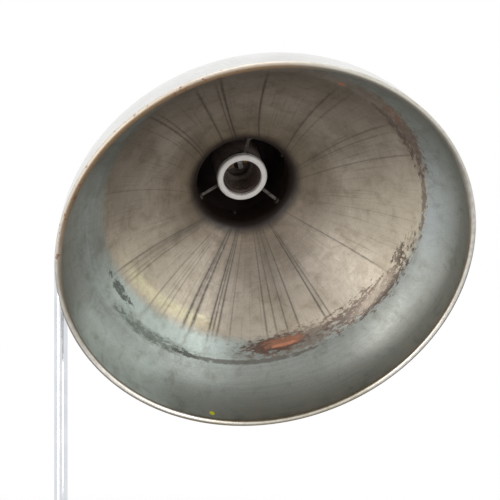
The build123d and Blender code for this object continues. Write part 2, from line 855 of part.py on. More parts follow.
# Stop screw that keeps the journal in the ferrule
with BuildPart() as stop_screw:
    with BuildSketch(neck.offset(pivot_height - ferrule_radius + stop_screw_sink)):
        with Locations((stop_level, 0)):
            Circle(stop_screw_radius)
    extrude(amount=ferrule_radius - stop_screw_sink - journal_radius + groove_depth - slip)
    with BuildSketch(neck.offset(pivot_height - ferrule_radius + stop_screw_sink)):
        with Locations((stop_level, 0)):
            Rectangle(3 * stop_screw_radius, slot_width)
    extrude(amount=slot_depth, mode=Mode.SUBTRACT)
stop_screw.part.label = "stop_screw"
export_step(stop_screw.part, "parts/stop_screw.step")

# Yoke: hollow grooved journal, round shank, two cheeks bored for the tilt bolt
with BuildPart() as yoke:
    with BuildSketch(yoke_side) as cheek_section:
        with Locations((-yoke_back / 2 + yoke_corner / 2, 0)):
            Rectangle(yoke_back - yoke_corner, 2 * knuckle_radius)
        fillet(cheek_section.vertices().group_by(Axis.X)[0], yoke_corner)
        Circle(knuckle_radius)
    extrude(amount=cheek_back, both=True)
    with BuildSketch(yoke_side):
        with Locations((knuckle_radius - yoke_crotch / 2, 0)):
            Rectangle(2 * knuckle_radius + yoke_crotch, 4 * knuckle_radius)
    extrude(amount=cheek_face, both=True, mode=Mode.SUBTRACT)
    with BuildSketch(yoke_arm.offset(-yoke_back)):
        Circle(ferrule_radius)
    extrude(amount=shank_length)
    with BuildSketch(yoke_arm.offset(-yoke_back - journal_length)):
        Circle(journal_radius)
    extrude(amount=journal_length)
    with BuildSketch(yoke_arm.offset(-yoke_back - face_gap - journal_length / 2 - groove_width / 2)):
        Circle(ferrule_radius)
        Circle(journal_radius - groove_depth, mode=Mode.SUBTRACT)
    extrude(amount=groove_width, mode=Mode.SUBTRACT)
    with BuildSketch(yoke_arm.offset(-yoke_back - journal_length)):
        Circle(journal_bore)
    extrude(amount=journal_length + shank_length, mode=Mode.SUBTRACT)
    with BuildSketch(yoke_side):
        Circle(bolt_radius + seat_fit)
    extrude(amount=2 * cheek_back, both=True, mode=Mode.SUBTRACT)
yoke.part.label = "yoke"
export_step(yoke.part, "parts/yoke.step")

# Fibre friction washers, one each side of the tongue
with BuildPart() as friction_washers:
    for side in (-1, 1):
        with BuildSketch(yoke_side.offset(side * washer_face)):
            Circle(washer_radius)
            Circle(bolt_radius + seat_fit, mode=Mode.SUBTRACT)
        extrude(amount=side * washer_thickness)
friction_washers.part.label = "friction_washers"
export_step(friction_washers.part, "parts/friction_washers.step")

# Tilt bolt: slotted head against the lower cheek, shank through to the knob
with BuildPart() as tilt_bolt:
    with BuildSketch(yoke_side.offset(-cheek_back - bolt_head_height)):
        Circle(bolt_head_radius)
    extrude(amount=bolt_head_height)
    chamfer(tilt_bolt.edges().filter_by(GeomType.CIRCLE).sort_by(tilt_axis)[-1], edge_break)
    with BuildSketch(yoke_side.offset(-cheek_back - bolt_head_height)):
        Circle(bolt_radius)
    extrude(amount=bolt_head_height + cheek_back + knob_face + knob_bore_depth - slip)
    with BuildSketch(yoke_side.offset(-cheek_back - bolt_head_height)):
        Rectangle(3 * bolt_head_radius, bolt_slot_width)
    extrude(amount=bolt_slot_depth, mode=Mode.SUBTRACT)
tilt_bolt.part.label = "tilt_bolt"
export_step(tilt_bolt.part, "parts/tilt_bolt.step")

# Tilt knob: boss, fluted grip and blind bore, on the bolt's end
with BuildPart() as tilt_knob:
    with BuildSketch(yoke_side.offset(knob_face)):
        Circle(knob_boss_radius)
    extrude(amount=knob_boss_height)
    with BuildSketch(yoke_side.offset(knob_face + knob_boss_height)):
        Circle(knob_radius)
        with PolarLocations(knob_radius + flute_offset, flutes):
            Circle(flute_radius, mode=Mode.SUBTRACT)
    extrude(amount=knob_height)
    chamfer(tilt_knob.faces().sort_by(tilt_axis)[0].edges(), edge_break)
    with BuildSketch(yoke_side.offset(knob_face)):
        Circle(bolt_radius + running_fit)
    extrude(amount=knob_bore_depth, mode=Mode.SUBTRACT)
tilt_knob.part.label = "tilt_knob"
export_step(tilt_knob.part, "parts/tilt_knob.step")

# Tongue: blade between the cheeks, seat on the cap, hollow nipple down into the holder
with BuildPart() as tongue:
    with BuildSketch(head_side):
        with Locations((0, shade_drop)):
            Circle(knuckle_radius)
        with Locations((0, shade_drop - blade_height / 2)):
            Rectangle(2 * knuckle_radius, blade_height)
    extrude(amount=tongue_thickness / 2, both=True)
    with BuildSketch(head.offset(cap_top)):
        Circle(seat_radius)
    extrude(amount=seat_height)
    with BuildSketch(head.offset(nipple_foot)):
        Circle(nipple_radius)
    extrude(amount=nipple_length)
    with BuildSketch(head.offset(nipple_foot)):
        Circle(nipple_bore)
    extrude(amount=nipple_length + nipple_roof, mode=Mode.SUBTRACT)
    with BuildSketch(head_side):
        with Locations((0, shade_drop)):
            Circle(bolt_radius + running_fit)
    extrude(amount=tongue_thickness, both=True, mode=Mode.SUBTRACT)
tongue.part.label = "tongue"
export_step(tongue.part, "parts/tongue.step")

# Lock nut that holds the cap up against the seat
with BuildPart() as lock_nut:
    with BuildSketch(head.offset(cap_top - cap_wall - lock_nut_height)):
        RegularPolygon(lock_nut_flats / 2, 6, major_radius=False)
        Circle(nipple_radius + seat_fit, mode=Mode.SUBTRACT)
    extrude(amount=lock_nut_height)
lock_nut.part.label = "lock_nut"
export_step(lock_nut.part, "parts/lock_nut.step")

# Cap: spun cup over the shade's neck
with BuildPart() as neck_cap:
    with BuildSketch(head_side):
        with BuildLine():
            cap_line = FilletPolyline(
                (cap_radius, cap_foot), (cap_radius, cap_top), (0, cap_top), radius=[cap_shoulder]
            )
            Polyline(cap_line @ 1, (0, cap_foot), cap_line @ 0)
        make_face()
    revolve(axis=head_axis)
    offset(amount=-cap_wall, openings=neck_cap.faces().sort_by(head_axis)[0])
    with BuildSketch(head.offset(cap_top - 2 * cap_wall)):
        Circle(nipple_radius + seat_fit)
    extrude(amount=3 * cap_wall, mode=Mode.SUBTRACT)
    for turn in cap_turns:
        with BuildSketch(head_spoke(turn, cap_screw_level)):
            Circle(cap_screw_radius + seat_fit)
        extrude(amount=2 * cap_radius, mode=Mode.SUBTRACT)
neck_cap.part.label = "neck_cap"
export_step(neck_cap.part, "parts/neck_cap.step")

# Cap screws through cap and neck
with BuildPart() as cap_screws:
    for turn in cap_turns:
        spoke = head_spoke(turn, cap_screw_level)
        with BuildSketch(spoke.offset(neck_bore - cap_screw_radius)):
            Circle(cap_screw_radius)
        extrude(amount=cap_radius - neck_bore + cap_screw_radius)
        with BuildSketch(spoke.offset(cap_radius)):
            Circle(cap_screw_head)
        extrude(amount=cap_screw_height, taper=15)
        with BuildSketch(spoke.offset(cap_radius + cap_screw_height - slot_depth)):
            Rectangle(3 * cap_screw_head, slot_width)
        extrude(amount=2 * slot_depth, mode=Mode.SUBTRACT)
cap_screws.part.label = "cap_screws"
export_step(cap_screws.part, "parts/cap_screws.step")

# Shade: skirt, crease, dome and neck spun in one, with a rolled bead at the rim
with BuildPart() as shade:
    with BuildSketch(head_side) as shade_section:
        with BuildLine():
            skirt_line = Line((skirt_radius, bead_radius), (skirt_radius, skirt_height))
            TangentArc(skirt_line @ 1, (crease_radius, crease_height), tangent=(0, 1))
            dome_line = SagittaArc((crease_radius, crease_height), (neck_radius, dome_height), -dome_bulge)
            neck_line = Line(dome_line @ 1, (neck_radius, neck_top))
            Polyline(neck_line @ 1, (0, neck_top), (0, bead_radius), skirt_line @ 0)
        make_face()
        fillet(shade_section.vertices().sort_by_distance((neck_radius, dome_height))[0], neck_fillet)
    revolve(axis=head_axis)
    offset(amount=-shade_wall, openings=shade.faces().filter_by(GeomType.PLANE))
    with BuildSketch(head_side):
        with Locations((rim_radius - bead_radius, bead_radius)):
            Circle(bead_radius)
    revolve(axis=head_axis)
    for turn in cap_turns:
        with BuildSketch(head_spoke(turn, cap_screw_level)):
            Circle(cap_screw_radius + seat_fit)
        extrude(amount=2 * neck_radius, mode=Mode.SUBTRACT)
    for turn in spider_turns:
        with BuildSketch(head_spoke(turn, spider_rivet_level)):
            Circle(spider_rivet_radius + seat_fit)
        extrude(amount=2 * neck_radius, mode=Mode.SUBTRACT)
shade.part.label = "shade"
export_step(shade.part, "parts/shade.step")

# Spider: hub ring clamped on the holder, arms down to round tabs against the neck
with BuildPart() as spider:
    with BuildSketch(head.offset(ring_back)):
        Circle(spider_hub_radius)
        Circle(sleeve_radius + seat_fit, mode=Mode.SUBTRACT)
    extrude(amount=spider_thickness)
    for turn in spider_turns:
        arm_side = Plane(head.location * Location((0, 0, 0), (0, 0, turn)) * Plane.XZ.location)
        with BuildSketch(arm_side):
            with BuildLine():
                Polyline(
                    (spider_hub_radius - spider_root, ring_back),
                    (spider_hub_radius - spider_root, ring_back + spider_thickness),
                    (spider_hub_radius + spider_root, ring_back + spider_thickness),
                    (tab_back, spider_foot + spider_tab),
                    (tab_back, spider_foot),
                    (tab_face, spider_foot),
                    (tab_face, spider_foot + spider_tab - spider_elbow),
                    (spider_hub_radius + spider_root, ring_back),
                    close=True,
                )
            make_face()
        extrude(amount=spider_width / 2, both=True)
        with BuildSketch(head_spoke(turn, spider_rivet_level).offset(tab_face)):
            Circle(spider_tab_radius)
        extrude(amount=spider_thickness)
        with BuildSketch(head_spoke(turn, spider_rivet_level).offset(spider_hub_radius + spider_root)):
            Circle(spider_rivet_radius + seat_fit)
        extrude(amount=neck_bore, mode=Mode.SUBTRACT)
spider.part.label = "spider"
export_step(spider.part, "parts/spider.step")

# Rivets through the tabs and the neck
with BuildPart() as spider_rivets:
    for turn in spider_turns:
        spoke = head_spoke(turn, spider_rivet_level)
        with BuildSketch(spoke.offset(tab_face)):
            Circle(spider_rivet_radius)
        extrude(amount=neck_radius - tab_face)
        with BuildSketch(spoke.offset(neck_radius)):
            Circle(spider_rivet_head)
        extrude(amount=spider_rivet_height, taper=30)
spider_rivets.part.label = "spider_rivets"
export_step(spider_rivets.part, "parts/spider_rivets.step")

# Holder body: sleeve for the ring, shoulder over the spider, crown screwed on the nipple
with BuildPart() as holder_body:
    with BuildSketch(head_side):
        with BuildLine():
            holder_line = FilletPolyline(
                (sleeve_radius, holder_front),
                (sleeve_radius, holder_shoulder),
                (holder_radius, holder_shoulder),
                (holder_radius, holder_crown),
                (holder_boss_radius, holder_cone),
                (holder_boss_radius, holder_top),
                (nipple_radius + seat_fit, holder_top),
                radius=[0, 0, holder_corner, holder_root, holder_boss_edge],
            )
            Polyline(
                holder_line @ 1,
                (nipple_radius + seat_fit, holder_cone - holder_roof),
                (sleeve_bore, holder_crown - holder_roof),
                (sleeve_bore, holder_front),
                holder_line @ 0,
            )
        make_face()
    revolve(axis=head_axis)
holder_body.part.label = "holder_body"
export_step(holder_body.part, "parts/holder_body.step")

# White ring screwed on the sleeve, which holds the spider up
with BuildPart() as shade_ring:
    with BuildSketch(head_side):
        with BuildLine():
            ring_line = FilletPolyline(
                (sleeve_radius + seat_fit, ring_back),
                (ring_radius, ring_back),
                (ring_radius, ring_front),
                (ring_bore, ring_front),
                (ring_bore, ring_front + ring_lip),
                radius=[ring_back_edge, ring_edge, ring_bore_edge],
            )
            Polyline(ring_line @ 1, (sleeve_radius + seat_fit, ring_front + ring_lip), ring_line @ 0)
        make_face()
    revolve(axis=head_axis)
shade_ring.part.label = "shade_ring"
export_step(shade_ring.part, "parts/shade_ring.step")

# Insert at the bottom of the holder: a cup behind the shell, drilled for the rivets
with BuildPart() as holder_insert:
    with BuildSketch(head.offset(insert_front)):
        Circle(sleeve_bore - slip)
        Circle(shell_radius - shell_lip, mode=Mode.SUBTRACT)
    extrude(amount=insert_recess)
    with BuildSketch(head.offset(insert_floor)):
        Circle(sleeve_bore - slip)
        with Locations((-rivet_spread, 0), (rivet_spread, 0)):
            Circle(rivet_radius + seat_fit, mode=Mode.SUBTRACT)
    extrude(amount=insert_height)
holder_insert.part.label = "holder_insert"
export_step(holder_insert.part, "parts/holder_insert.step")

# Screw shell: brass cup for the lamp cap, open in the middle for the centre contact
with BuildPart() as screw_shell:
    with BuildSketch(head.offset(shell_front)):
        Circle(shell_radius)
        Circle(shell_bore, mode=Mode.SUBTRACT)
    extrude(amount=shell_depth)
    with BuildSketch(head.offset(insert_front)):
        Circle(shell_radius)
        Circle(shell_radius - shell_lip, mode=Mode.SUBTRACT)
    extrude(amount=-shell_wall)
screw_shell.part.label = "screw_shell"
export_step(screw_shell.part, "parts/screw_shell.step")

# Centre contact: sprung strip riveted at one end
contact_heel = -rivet_spread - rivet_head_radius
contact_knee = -rivet_spread + rivet_head_radius + rivet_margin
contact_face = insert_floor - contact_rise
with BuildPart() as centre_contact:
    with BuildSketch(head_side):
        with BuildLine():
            Polyline(
                (contact_heel, insert_floor),
                (contact_knee + contact_bend, insert_floor),
                (contact_bend, contact_face + contact_thickness),
                (contact_tip, contact_face + contact_thickness),
                (contact_tip, contact_face),
                (0, contact_face),
                (contact_knee, insert_floor - contact_thickness),
                (contact_heel, insert_floor - contact_thickness),
                close=True,
            )
        make_face()
    extrude(amount=contact_width / 2, both=True)
    with BuildSketch(head.offset(insert_floor)):
        with Locations((-rivet_spread, 0)):
            Circle(rivet_radius + seat_fit)
    extrude(amount=-contact_thickness, mode=Mode.SUBTRACT)
centre_contact.part.label = "centre_contact"
export_step(centre_contact.part, "parts/centre_contact.step")

# Contact rivets through the insert
with BuildPart() as contact_rivets:
    with BuildSketch(head.offset(insert_floor - contact_thickness)):
        with Locations((-rivet_spread, 0), (rivet_spread, 0)):
            Circle(rivet_radius)
    extrude(amount=contact_thickness + insert_height)
    with BuildSketch(head.offset(insert_floor - contact_thickness)):
        with Locations((-rivet_spread, 0), (rivet_spread, 0)):
            Circle(rivet_head_radius)
    extrude(amount=-rivet_head_height, taper=20)
contact_rivets.part.label = "contact_rivets"
export_step(contact_rivets.part, "parts/contact_rivets.step")

# Terminals behind the insert: a pillar and a screw head each
with BuildPart() as lamp_terminals:
    with BuildSketch(head.offset(insert_back)):
        with Locations((0, -terminal_spread), (0, terminal_spread)):
            Circle(terminal_radius)
    extrude(amount=terminal_base)
    with BuildSketch(head.offset(insert_back + terminal_base)):
        with Locations((0, -terminal_spread), (0, terminal_spread)):
            Circle(terminal_top_radius)
    extrude(amount=terminal_top)
lamp_terminals.part.label = "lamp_terminals"
export_step(lamp_terminals.part, "parts/lamp_terminals.step")

# Flex from the tongue down the nipple to the insert
with BuildPart() as head_flex:
    with BuildSketch(head.offset(insert_back)):
        Circle(flex_radius)
    extrude(amount=cap_top - insert_back)
head_flex.part.label = "head_flex"
export_step(head_flex.part, "parts/head_flex.step")
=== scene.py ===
import json
import math

import bmesh
import bpy
from mathutils import Matrix, Vector


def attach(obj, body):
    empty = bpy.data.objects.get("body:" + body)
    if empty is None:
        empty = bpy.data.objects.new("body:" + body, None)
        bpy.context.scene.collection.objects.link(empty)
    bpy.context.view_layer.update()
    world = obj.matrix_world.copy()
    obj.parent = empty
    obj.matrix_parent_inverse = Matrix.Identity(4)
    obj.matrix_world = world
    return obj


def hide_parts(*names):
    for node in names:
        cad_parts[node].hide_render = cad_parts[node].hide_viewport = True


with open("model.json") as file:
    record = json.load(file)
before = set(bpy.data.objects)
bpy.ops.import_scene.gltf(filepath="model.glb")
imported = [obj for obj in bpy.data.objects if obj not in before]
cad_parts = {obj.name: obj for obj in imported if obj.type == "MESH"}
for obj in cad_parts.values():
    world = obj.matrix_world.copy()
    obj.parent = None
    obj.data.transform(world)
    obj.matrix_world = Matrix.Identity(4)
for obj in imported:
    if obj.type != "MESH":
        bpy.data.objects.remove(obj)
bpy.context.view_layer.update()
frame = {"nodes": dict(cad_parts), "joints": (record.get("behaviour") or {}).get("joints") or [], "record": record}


# Felt pad: a disc of pressed wool felt, cut with a die and glued under the foot.
# Its edge is a little rounded and the surface is a mat of short fibres.

# Sizes are in mm. Points nearer than MERGE become one, and edges that turn by more than SHARP stay crisp.
MM = 0.001
MERGE = 0.002
SHARP = math.radians(35)
FELT_RADIUS, FELT_THICKNESS, FELT_EDGE = 98.4, 2.0, 0.7
FELT_STEPS, ROUND_STEPS = 128, 6


def linear(colour):
    """An sRGB hex colour as linear red, green, blue and full alpha."""
    parts = [int(colour[i:i + 2], 16) / 255 for i in (1, 3, 5)]
    return [p / 12.92 if p <= 0.04045 else ((p + 0.055) / 1.055) ** 2.4 for p in parts] + [1.0]


def add(tree, kind, *inputs, named=None, stops=(), **settings):
    """A node with its settings, its ramp's stops, and what its inputs are linked or set to."""
    node = tree.nodes.new("ShaderNode" + kind)
    for key, value in settings.items():
        setattr(node, key, value)
    for key, value in [*enumerate(inputs), *(named or {}).items()]:
        if isinstance(value, bpy.types.Node):
            value = value.outputs[0]
        if isinstance(value, bpy.types.NodeSocket):
            tree.links.new(value, node.inputs[key])
        elif value is not None:
            node.inputs[key].default_value = value
    for k, (position, colour) in enumerate(stops):
        while len(node.color_ramp.elements) <= k:
            node.color_ramp.elements.new(1.0)
        node.color_ramp.elements[k].position = position
        node.color_ramp.elements[k].color = linear(colour) if isinstance(colour, str) else colour
    return node


def coat(name, **sockets):
    """A new material: its tree, its shader with the sockets set, and its Object coordinates."""
    made = bpy.data.materials.new(name)
    made.use_nodes = True
    shader = made.node_tree.nodes["Principled BSDF"]
    for key, value in sockets.items():
        shader.inputs[key.replace("_", " ")].default_value = value
    return made, made.node_tree, shader, add(made.node_tree, "TexCoord").outputs["Object"]


def per(size):
    """The scale at which a pattern's marks are a size in mm apart on Object coordinates."""
    return 1 / (size * MM)


def surface(tree, shader, colour, roughness, height, strength, deep):
    """Links a shader to its colour, its roughness and a bump whose depth is in mm."""
    tree.links.new(colour.outputs[0], shader.inputs["Base Color"])
    tree.links.new(roughness.outputs[0], shader.inputs["Roughness"])
    bump = add(tree, "Bump", named={"Strength": strength, "Distance": deep * MM, "Height": height})
    tree.links.new(bump.outputs[0], shader.inputs["Normal"])


def finished(name, mesh, place=Matrix()):
    """Merges a bmesh, turns its faces outwards, puts it in place and makes the piece."""
    bmesh.ops.remove_doubles(mesh, verts=mesh.verts, dist=MERGE * MM)
    bmesh.ops.recalc_face_normals(mesh, faces=mesh.faces)
    bmesh.ops.transform(mesh, matrix=place, verts=mesh.verts)
    data = bpy.data.meshes.new(name)
    mesh.to_mesh(data)
    mesh.free()
    data.shade_smooth()
    data.set_sharp_from_angle(angle=SHARP)
    piece = bpy.data.objects.new(name, data)
    bpy.context.scene.collection.objects.link(piece)
    return piece


def profile(outline):
    """A wire in the XZ plane through (radius, height, rounding) points in mm."""
    mesh = bmesh.new()
    points = [mesh.verts.new((r * MM, 0, z * MM)) for r, z, _ in outline]
    for a, b in zip(points, points[1:]):
        mesh.edges.new((a, b))
    for point, (_, _, rounding) in zip(points, outline):
        if rounding:
            bmesh.ops.bevel(mesh, geom=[point], offset=rounding * MM, offset_type="OFFSET",
                            segments=ROUND_STEPS, profile=0.5, affect="VERTICES", material=-1)
    return mesh


def revolve(mesh, steps):
    """Turns a wire once round Z."""
    bmesh.ops.spin(mesh, geom=mesh.verts[:] + mesh.edges[:], cent=(0, 0, 0), axis=(0, 0, 1),
                   angle=2 * math.pi, steps=steps, use_merge=True)


def put(piece, made, body, slot, *replaced):
    """Gives a piece its materials, its body and the CAD nodes that it stands for; its slot is not used."""
    for material in made:
        piece.data.materials.append(material)
    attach(piece, body)
    if replaced:
        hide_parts(*replaced)


# Wool felt: a soft dark green with no shine. Its fibres are 0.4 mm wide, drawn at 1.1 mm so that they show.
felt, tree, shader, where = coat("wool_felt", Sheen_Weight=0.5)
fibres = add(tree, "TexNoise", where, named={"Scale": per(1.1), "Detail": 6.0, "Roughness": 0.7})
surface(tree, shader, add(tree, "ValToRGB", fibres, stops=((0.3, "#26352a"), (0.7, "#43564a"))),
        add(tree, "MapRange", fibres, 0.3, 0.7, 0.88, 1.0), fibres, 0.6, 0.3)
mesh = profile([(0, 0, 0), (FELT_RADIUS, 0, FELT_EDGE), (FELT_RADIUS, FELT_THICKNESS, FELT_EDGE),
                (0, FELT_THICKNESS, 0)])
revolve(mesh, FELT_STEPS)
foot_felt = finished("foot_felt", mesh)
put(foot_felt, [felt], "base", "felt", "felt_pad")


# Base plate, weight and fixings: rolled steel sheet with its mill lines, a raw grey iron casting
# from a sand mould, and steel screws, nuts and pins, here and up the lamp, once bright and now dull.
def dress(made, *names):
    """Puts a material on CAD nodes that keep their own mesh."""
    for name in names:
        node = frame["nodes"][name]
        if not node.material_slots:
            node.data.materials.append(made)
        for place in node.material_slots:
            place.material = made


# Rolled sheet: dull grey metal with mill lines 0.7 mm apart that run the length of the sheet.
sheet, tree, shader, where = coat("rolled_sheet_steel", Metallic=1.0)
rolled = add(tree, "TexNoise", add(tree, "Mapping", where, named={"Scale": (per(33), per(0.7), per(33))}),
             named={"Scale": 1.0, "Detail": 3.0})
surface(tree, shader, add(tree, "ValToRGB", rolled, stops=((0.3, "#7d7e80"), (0.7, "#9b9c9d"))),
        add(tree, "MapRange", rolled, 0.3, 0.7, 0.35, 0.5), rolled, 0.2, 0.05)
dress(sheet, "base_plate")

# Cast iron: nearly black and rough, from moulding sand of 0.3 mm that is drawn at 1.4 mm so that it shows.
iron, tree, shader, where = coat("grey_cast_iron", Metallic=0.7)
grit = add(tree, "TexNoise", where, named={"Scale": per(1.4), "Detail": 8.0, "Roughness": 0.65})
surface(tree, shader, add(tree, "ValToRGB", grit, stops=((0.35, "#2c2b2a"), (0.7, "#4d4a47"))),
        add(tree, "MapRange", grit, 0.3, 0.7, 0.6, 0.85), grit, 0.5, 0.4)
dress(iron, "base_weight")

# Aged steel: grey metal with brown stains 2.5 mm across.
steel, tree, shader, where = coat("aged_bright_steel", Metallic=1.0)
stain = add(tree, "TexNoise", where, named={"Scale": per(2.5), "Detail": 6.0, "Roughness": 0.6})
surface(tree, shader, add(tree, "ValToRGB", stain, stops=((0.35, "#5d5851"), (0.65, "#98948d"))),
        add(tree, "MapRange", stain, 0.3, 0.7, 0.5, 0.3), stain, 0.3, 0.05)
dress(steel, "base_plate_screws", "socket_washer", "socket_nut", "dolly_pin", "foot_clip", "stop_screw",
      "tilt_bolt")


# Foot cover, stem and clamps: brass spun over a former, turned or drawn, and chromium plated.
# The plate is bright, with wiping marks and pits, and painted darker where pieces meet, as shade and settled dirt.

# Chromium: a pale, cold mirror under patches of haze 22 mm across, with upright wiping marks 50 mm long.
# Its pits are 0.2 mm across, drawn 0.9 mm apart and larger so that they show.
chrome, tree, shader, where = coat("chromium_plate", Metallic=1.0)
haze = add(tree, "TexNoise", where, named={"Scale": per(22), "Detail": 5.0, "Roughness": 0.6})
wiped = add(tree, "TexNoise", add(tree, "Mapping", where, named={"Scale": (per(1.1), per(1.1), per(50))}),
            named={"Scale": 1.0, "Detail": 3.0})
pits = add(tree, "TexNoise", where, named={"Scale": per(0.9), "Detail": 2.0})
pitted = add(tree, "MapRange", pits, 0.7, 0.75, 0.0, 1.0)
# Where little open air reaches, the plate is painted darker: painted shade in crevices, and settled dirt.
open_air = add(tree, "AmbientOcclusion", named={"Distance": 5 * MM}, samples=6).outputs["AO"]
dirt_and_shade = add(tree, "MapRange", open_air, 0.8, 0.3, 0.0, 0.75)
plated = add(tree, "ValToRGB", haze, stops=((0.35, "#d6d9de"), (0.65, "#e2e4e8")))
plated = add(tree, "MixRGB", dirt_and_shade, plated, linear("#3a332b"))
dulled = add(tree, "Math", add(tree, "MapRange", haze, 0.4, 0.75, 0.05, 0.16),
             add(tree, "MapRange", wiped, 0.45, 0.8, 0.0, 0.1), operation="ADD")
surface(tree, shader, add(tree, "MixRGB", pitted, plated, linear("#5f584d")),
        add(tree, "Math", dulled, add(tree, "Math", dirt_and_shade, 0.5, operation="MULTIPLY"), operation="ADD"),
        haze, 0.06, 0.3)
dress(chrome, "base_cover", "stem_socket", "switch_bush", "switch_ring", "switch_dolly", "post_tube",
      "clamp_head", "clamp_screw", "neck_tube", "neck_ferrule", "yoke", "tongue")


# Switch, terminals, inlet bush and knob: phenolic filled with wood flour, pressed in steel dies.
# The terminals sit in fired clay and are turned brass, and rubber leads join them.
# The guide, plug, nut and rivets up the lamp are the same brass, and the pads that rub are red fibre.

# Phenolic: dark brown with a dull shine and dust in the corners. Its flour is finer than the eye sees and
# is drawn as clouds 3.8 mm across.
bakelite, tree, shader, where = coat("brown_phenolic")
flour = add(tree, "TexNoise", where, named={"Scale": per(3.8), "Detail": 6.0, "Roughness": 0.65})
open_air = add(tree, "AmbientOcclusion", named={"Distance": 3 * MM}, samples=6).outputs["AO"]
moulded = add(tree, "ValToRGB", flour, stops=((0.35, "#1d130e"), (0.7, "#3a261c")))
dusty = add(tree, "MixRGB", add(tree, "MapRange", open_air, 0.8, 0.3, 0.0, 0.5), moulded, linear("#5b5046"))
surface(tree, shader, dusty, add(tree, "MapRange", flour, 0.3, 0.7, 0.24, 0.42), flour, 0.2, 0.05)
dress(bakelite, "inlet_bush", "switch_body", "tilt_knob")

# Fired clay: unglazed grey brown with no shine, its grog of 0.5 mm drawn at 1.1 mm so that it shows.
clay, tree, shader, where = coat("fired_clay")
grain = add(tree, "TexNoise", where, named={"Scale": per(1.1), "Detail": 5.0})
surface(tree, shader, add(tree, "ValToRGB", grain, stops=((0.3, "#5d544b"), (0.7, "#81776c"))),
        add(tree, "MapRange", grain, 0.3, 0.7, 0.5, 0.75), grain, 0.3, 0.1)
dress(clay, "terminal_block")

# Tarnished brass: yellow metal gone brown in spots 2.9 mm across.
brass, tree, shader, where = coat("tarnished_brass", Metallic=1.0)
tarnish = add(tree, "TexNoise", where, named={"Scale": per(2.9), "Detail": 6.0, "Roughness": 0.6})
surface(tree, shader, add(tree, "ValToRGB", tarnish, stops=((0.3, "#6d532c"), (0.7, "#b3924f"))),
        add(tree, "MapRange", tarnish, 0.3, 0.7, 0.5, 0.28), tarnish, 0.2, 0.05)
dress(brass, "terminal_screws", "switch_tags", "guide_piston", "foot_plug", "lock_nut", "contact_rivets",
      "lamp_terminals")

# Rubber: black and dull, with grey bloom in spots 2 mm across.
rubber, tree, shader, where = coat("rubber_flex")
bloom = add(tree, "TexNoise", where, named={"Scale": per(2), "Detail": 4.0})
surface(tree, shader, add(tree, "ValToRGB", bloom, stops=((0.3, "#171513"), (0.7, "#2b2825"))),
        add(tree, "MapRange", bloom, 0.3, 0.7, 0.55, 0.75), bloom, 0.2, 0.05)
dress(rubber, "switch_leads", "neck_flex", "head_flex")

# Vulcanised fibre: dull red brown board with pulp marks 1.2 mm across.
fibre, tree, shader, where = coat("red_vulcanised_fibre")
pulp = add(tree, "TexNoise", where, named={"Scale": per(1.2), "Detail": 6.0})
surface(tree, shader, add(tree, "ValToRGB", pulp, stops=((0.3, "#4e2a20"), (0.7, "#74412f"))),
        add(tree, "MapRange", pulp, 0.3, 0.7, 0.6, 0.8), pulp, 0.2, 0.05)
dress(fibre, "guide_bush", "clamp_pad", "friction_washers")


# Shade: one brass sheet spun into skirt, crease, dome and neck, its rim rolled into a bead.
# It is plated bright outside; inside, the plate has gone brown on the dome and grey on the skirt.
BEAD_RADIUS, BEAD_CENTRE = 2.2, (137.8, 2.2)
SKIRT_RADIUS, SKIRT_TOP = 138.4, 14.0
CREASE, CREASE_SOFT = Vector((116.0, 49.0)), 1.2
DOME_TOP, DOME_BULGE = Vector((35.9, 115.5)), 5.0
NECK_TOP, NECK_FILLET = 136.0, 8.0
SHADE_WALL = 0.8
SHADE_MIDDLE = Vector((0, 0, 60 * MM))
HEAD_REACH = 205.0
SHADE_STEPS, SKIRT_STEPS, DOME_STEPS, THROAT_STEPS, CREASE_STEPS = 192, 16, 32, 8, 4

# The head's own frame: Z is the shade's axis, from the middle of the rim's plane up to the tilt bolt.
tilt = next(joint for joint in frame["joints"] if joint["name"] == "shade_tilt")
socket = next(mount for mount in frame["record"]["mounts"] if mount["name"] == "bulb_socket")
pivot = Vector(tilt["pos_m"])
across = Vector(tilt["axis"]).normalized()
upward = -Vector(socket["axis"]).normalized()
head = Matrix((across.cross(upward), across, upward)).transposed().to_4x4()
head.translation = pivot - upward * HEAD_REACH * MM


def arc(mesh, start, centre, degrees, steps):
    """Carries a profile's end point round a centre, as edges, and gives the new end."""
    swept = bmesh.ops.spin(mesh, geom=[start], cent=(centre[0] * MM, 0, centre[1] * MM), axis=(0, -1, 0),
                           angle=math.radians(degrees), steps=steps)
    return [end for end in swept["geom_last"] if isinstance(end, bmesh.types.BMVert)][0]


def line(mesh, start, end):
    """Carries a profile's end point straight to a point."""
    point = mesh.verts.new((end[0] * MM, 0, end[1] * MM))
    mesh.edges.new((start, point))
    return point


def shell(mesh, middle, wall):
    """Gives a turned sheet its wall, going inwards, and marks the faces that look to the middle."""
    bmesh.ops.remove_doubles(mesh, verts=mesh.verts, dist=MERGE * MM)
    bmesh.ops.recalc_face_normals(mesh, faces=mesh.faces)
    if sum(face.normal.dot(face.calc_center_median() - middle) for face in mesh.faces) < 0:
        bmesh.ops.reverse_faces(mesh, faces=mesh.faces)
    bmesh.ops.solidify(mesh, geom=mesh.faces[:], thickness=wall * MM)
    for face in mesh.faces:
        face.material_index = face.normal.dot(middle - face.calc_center_median()) > 0


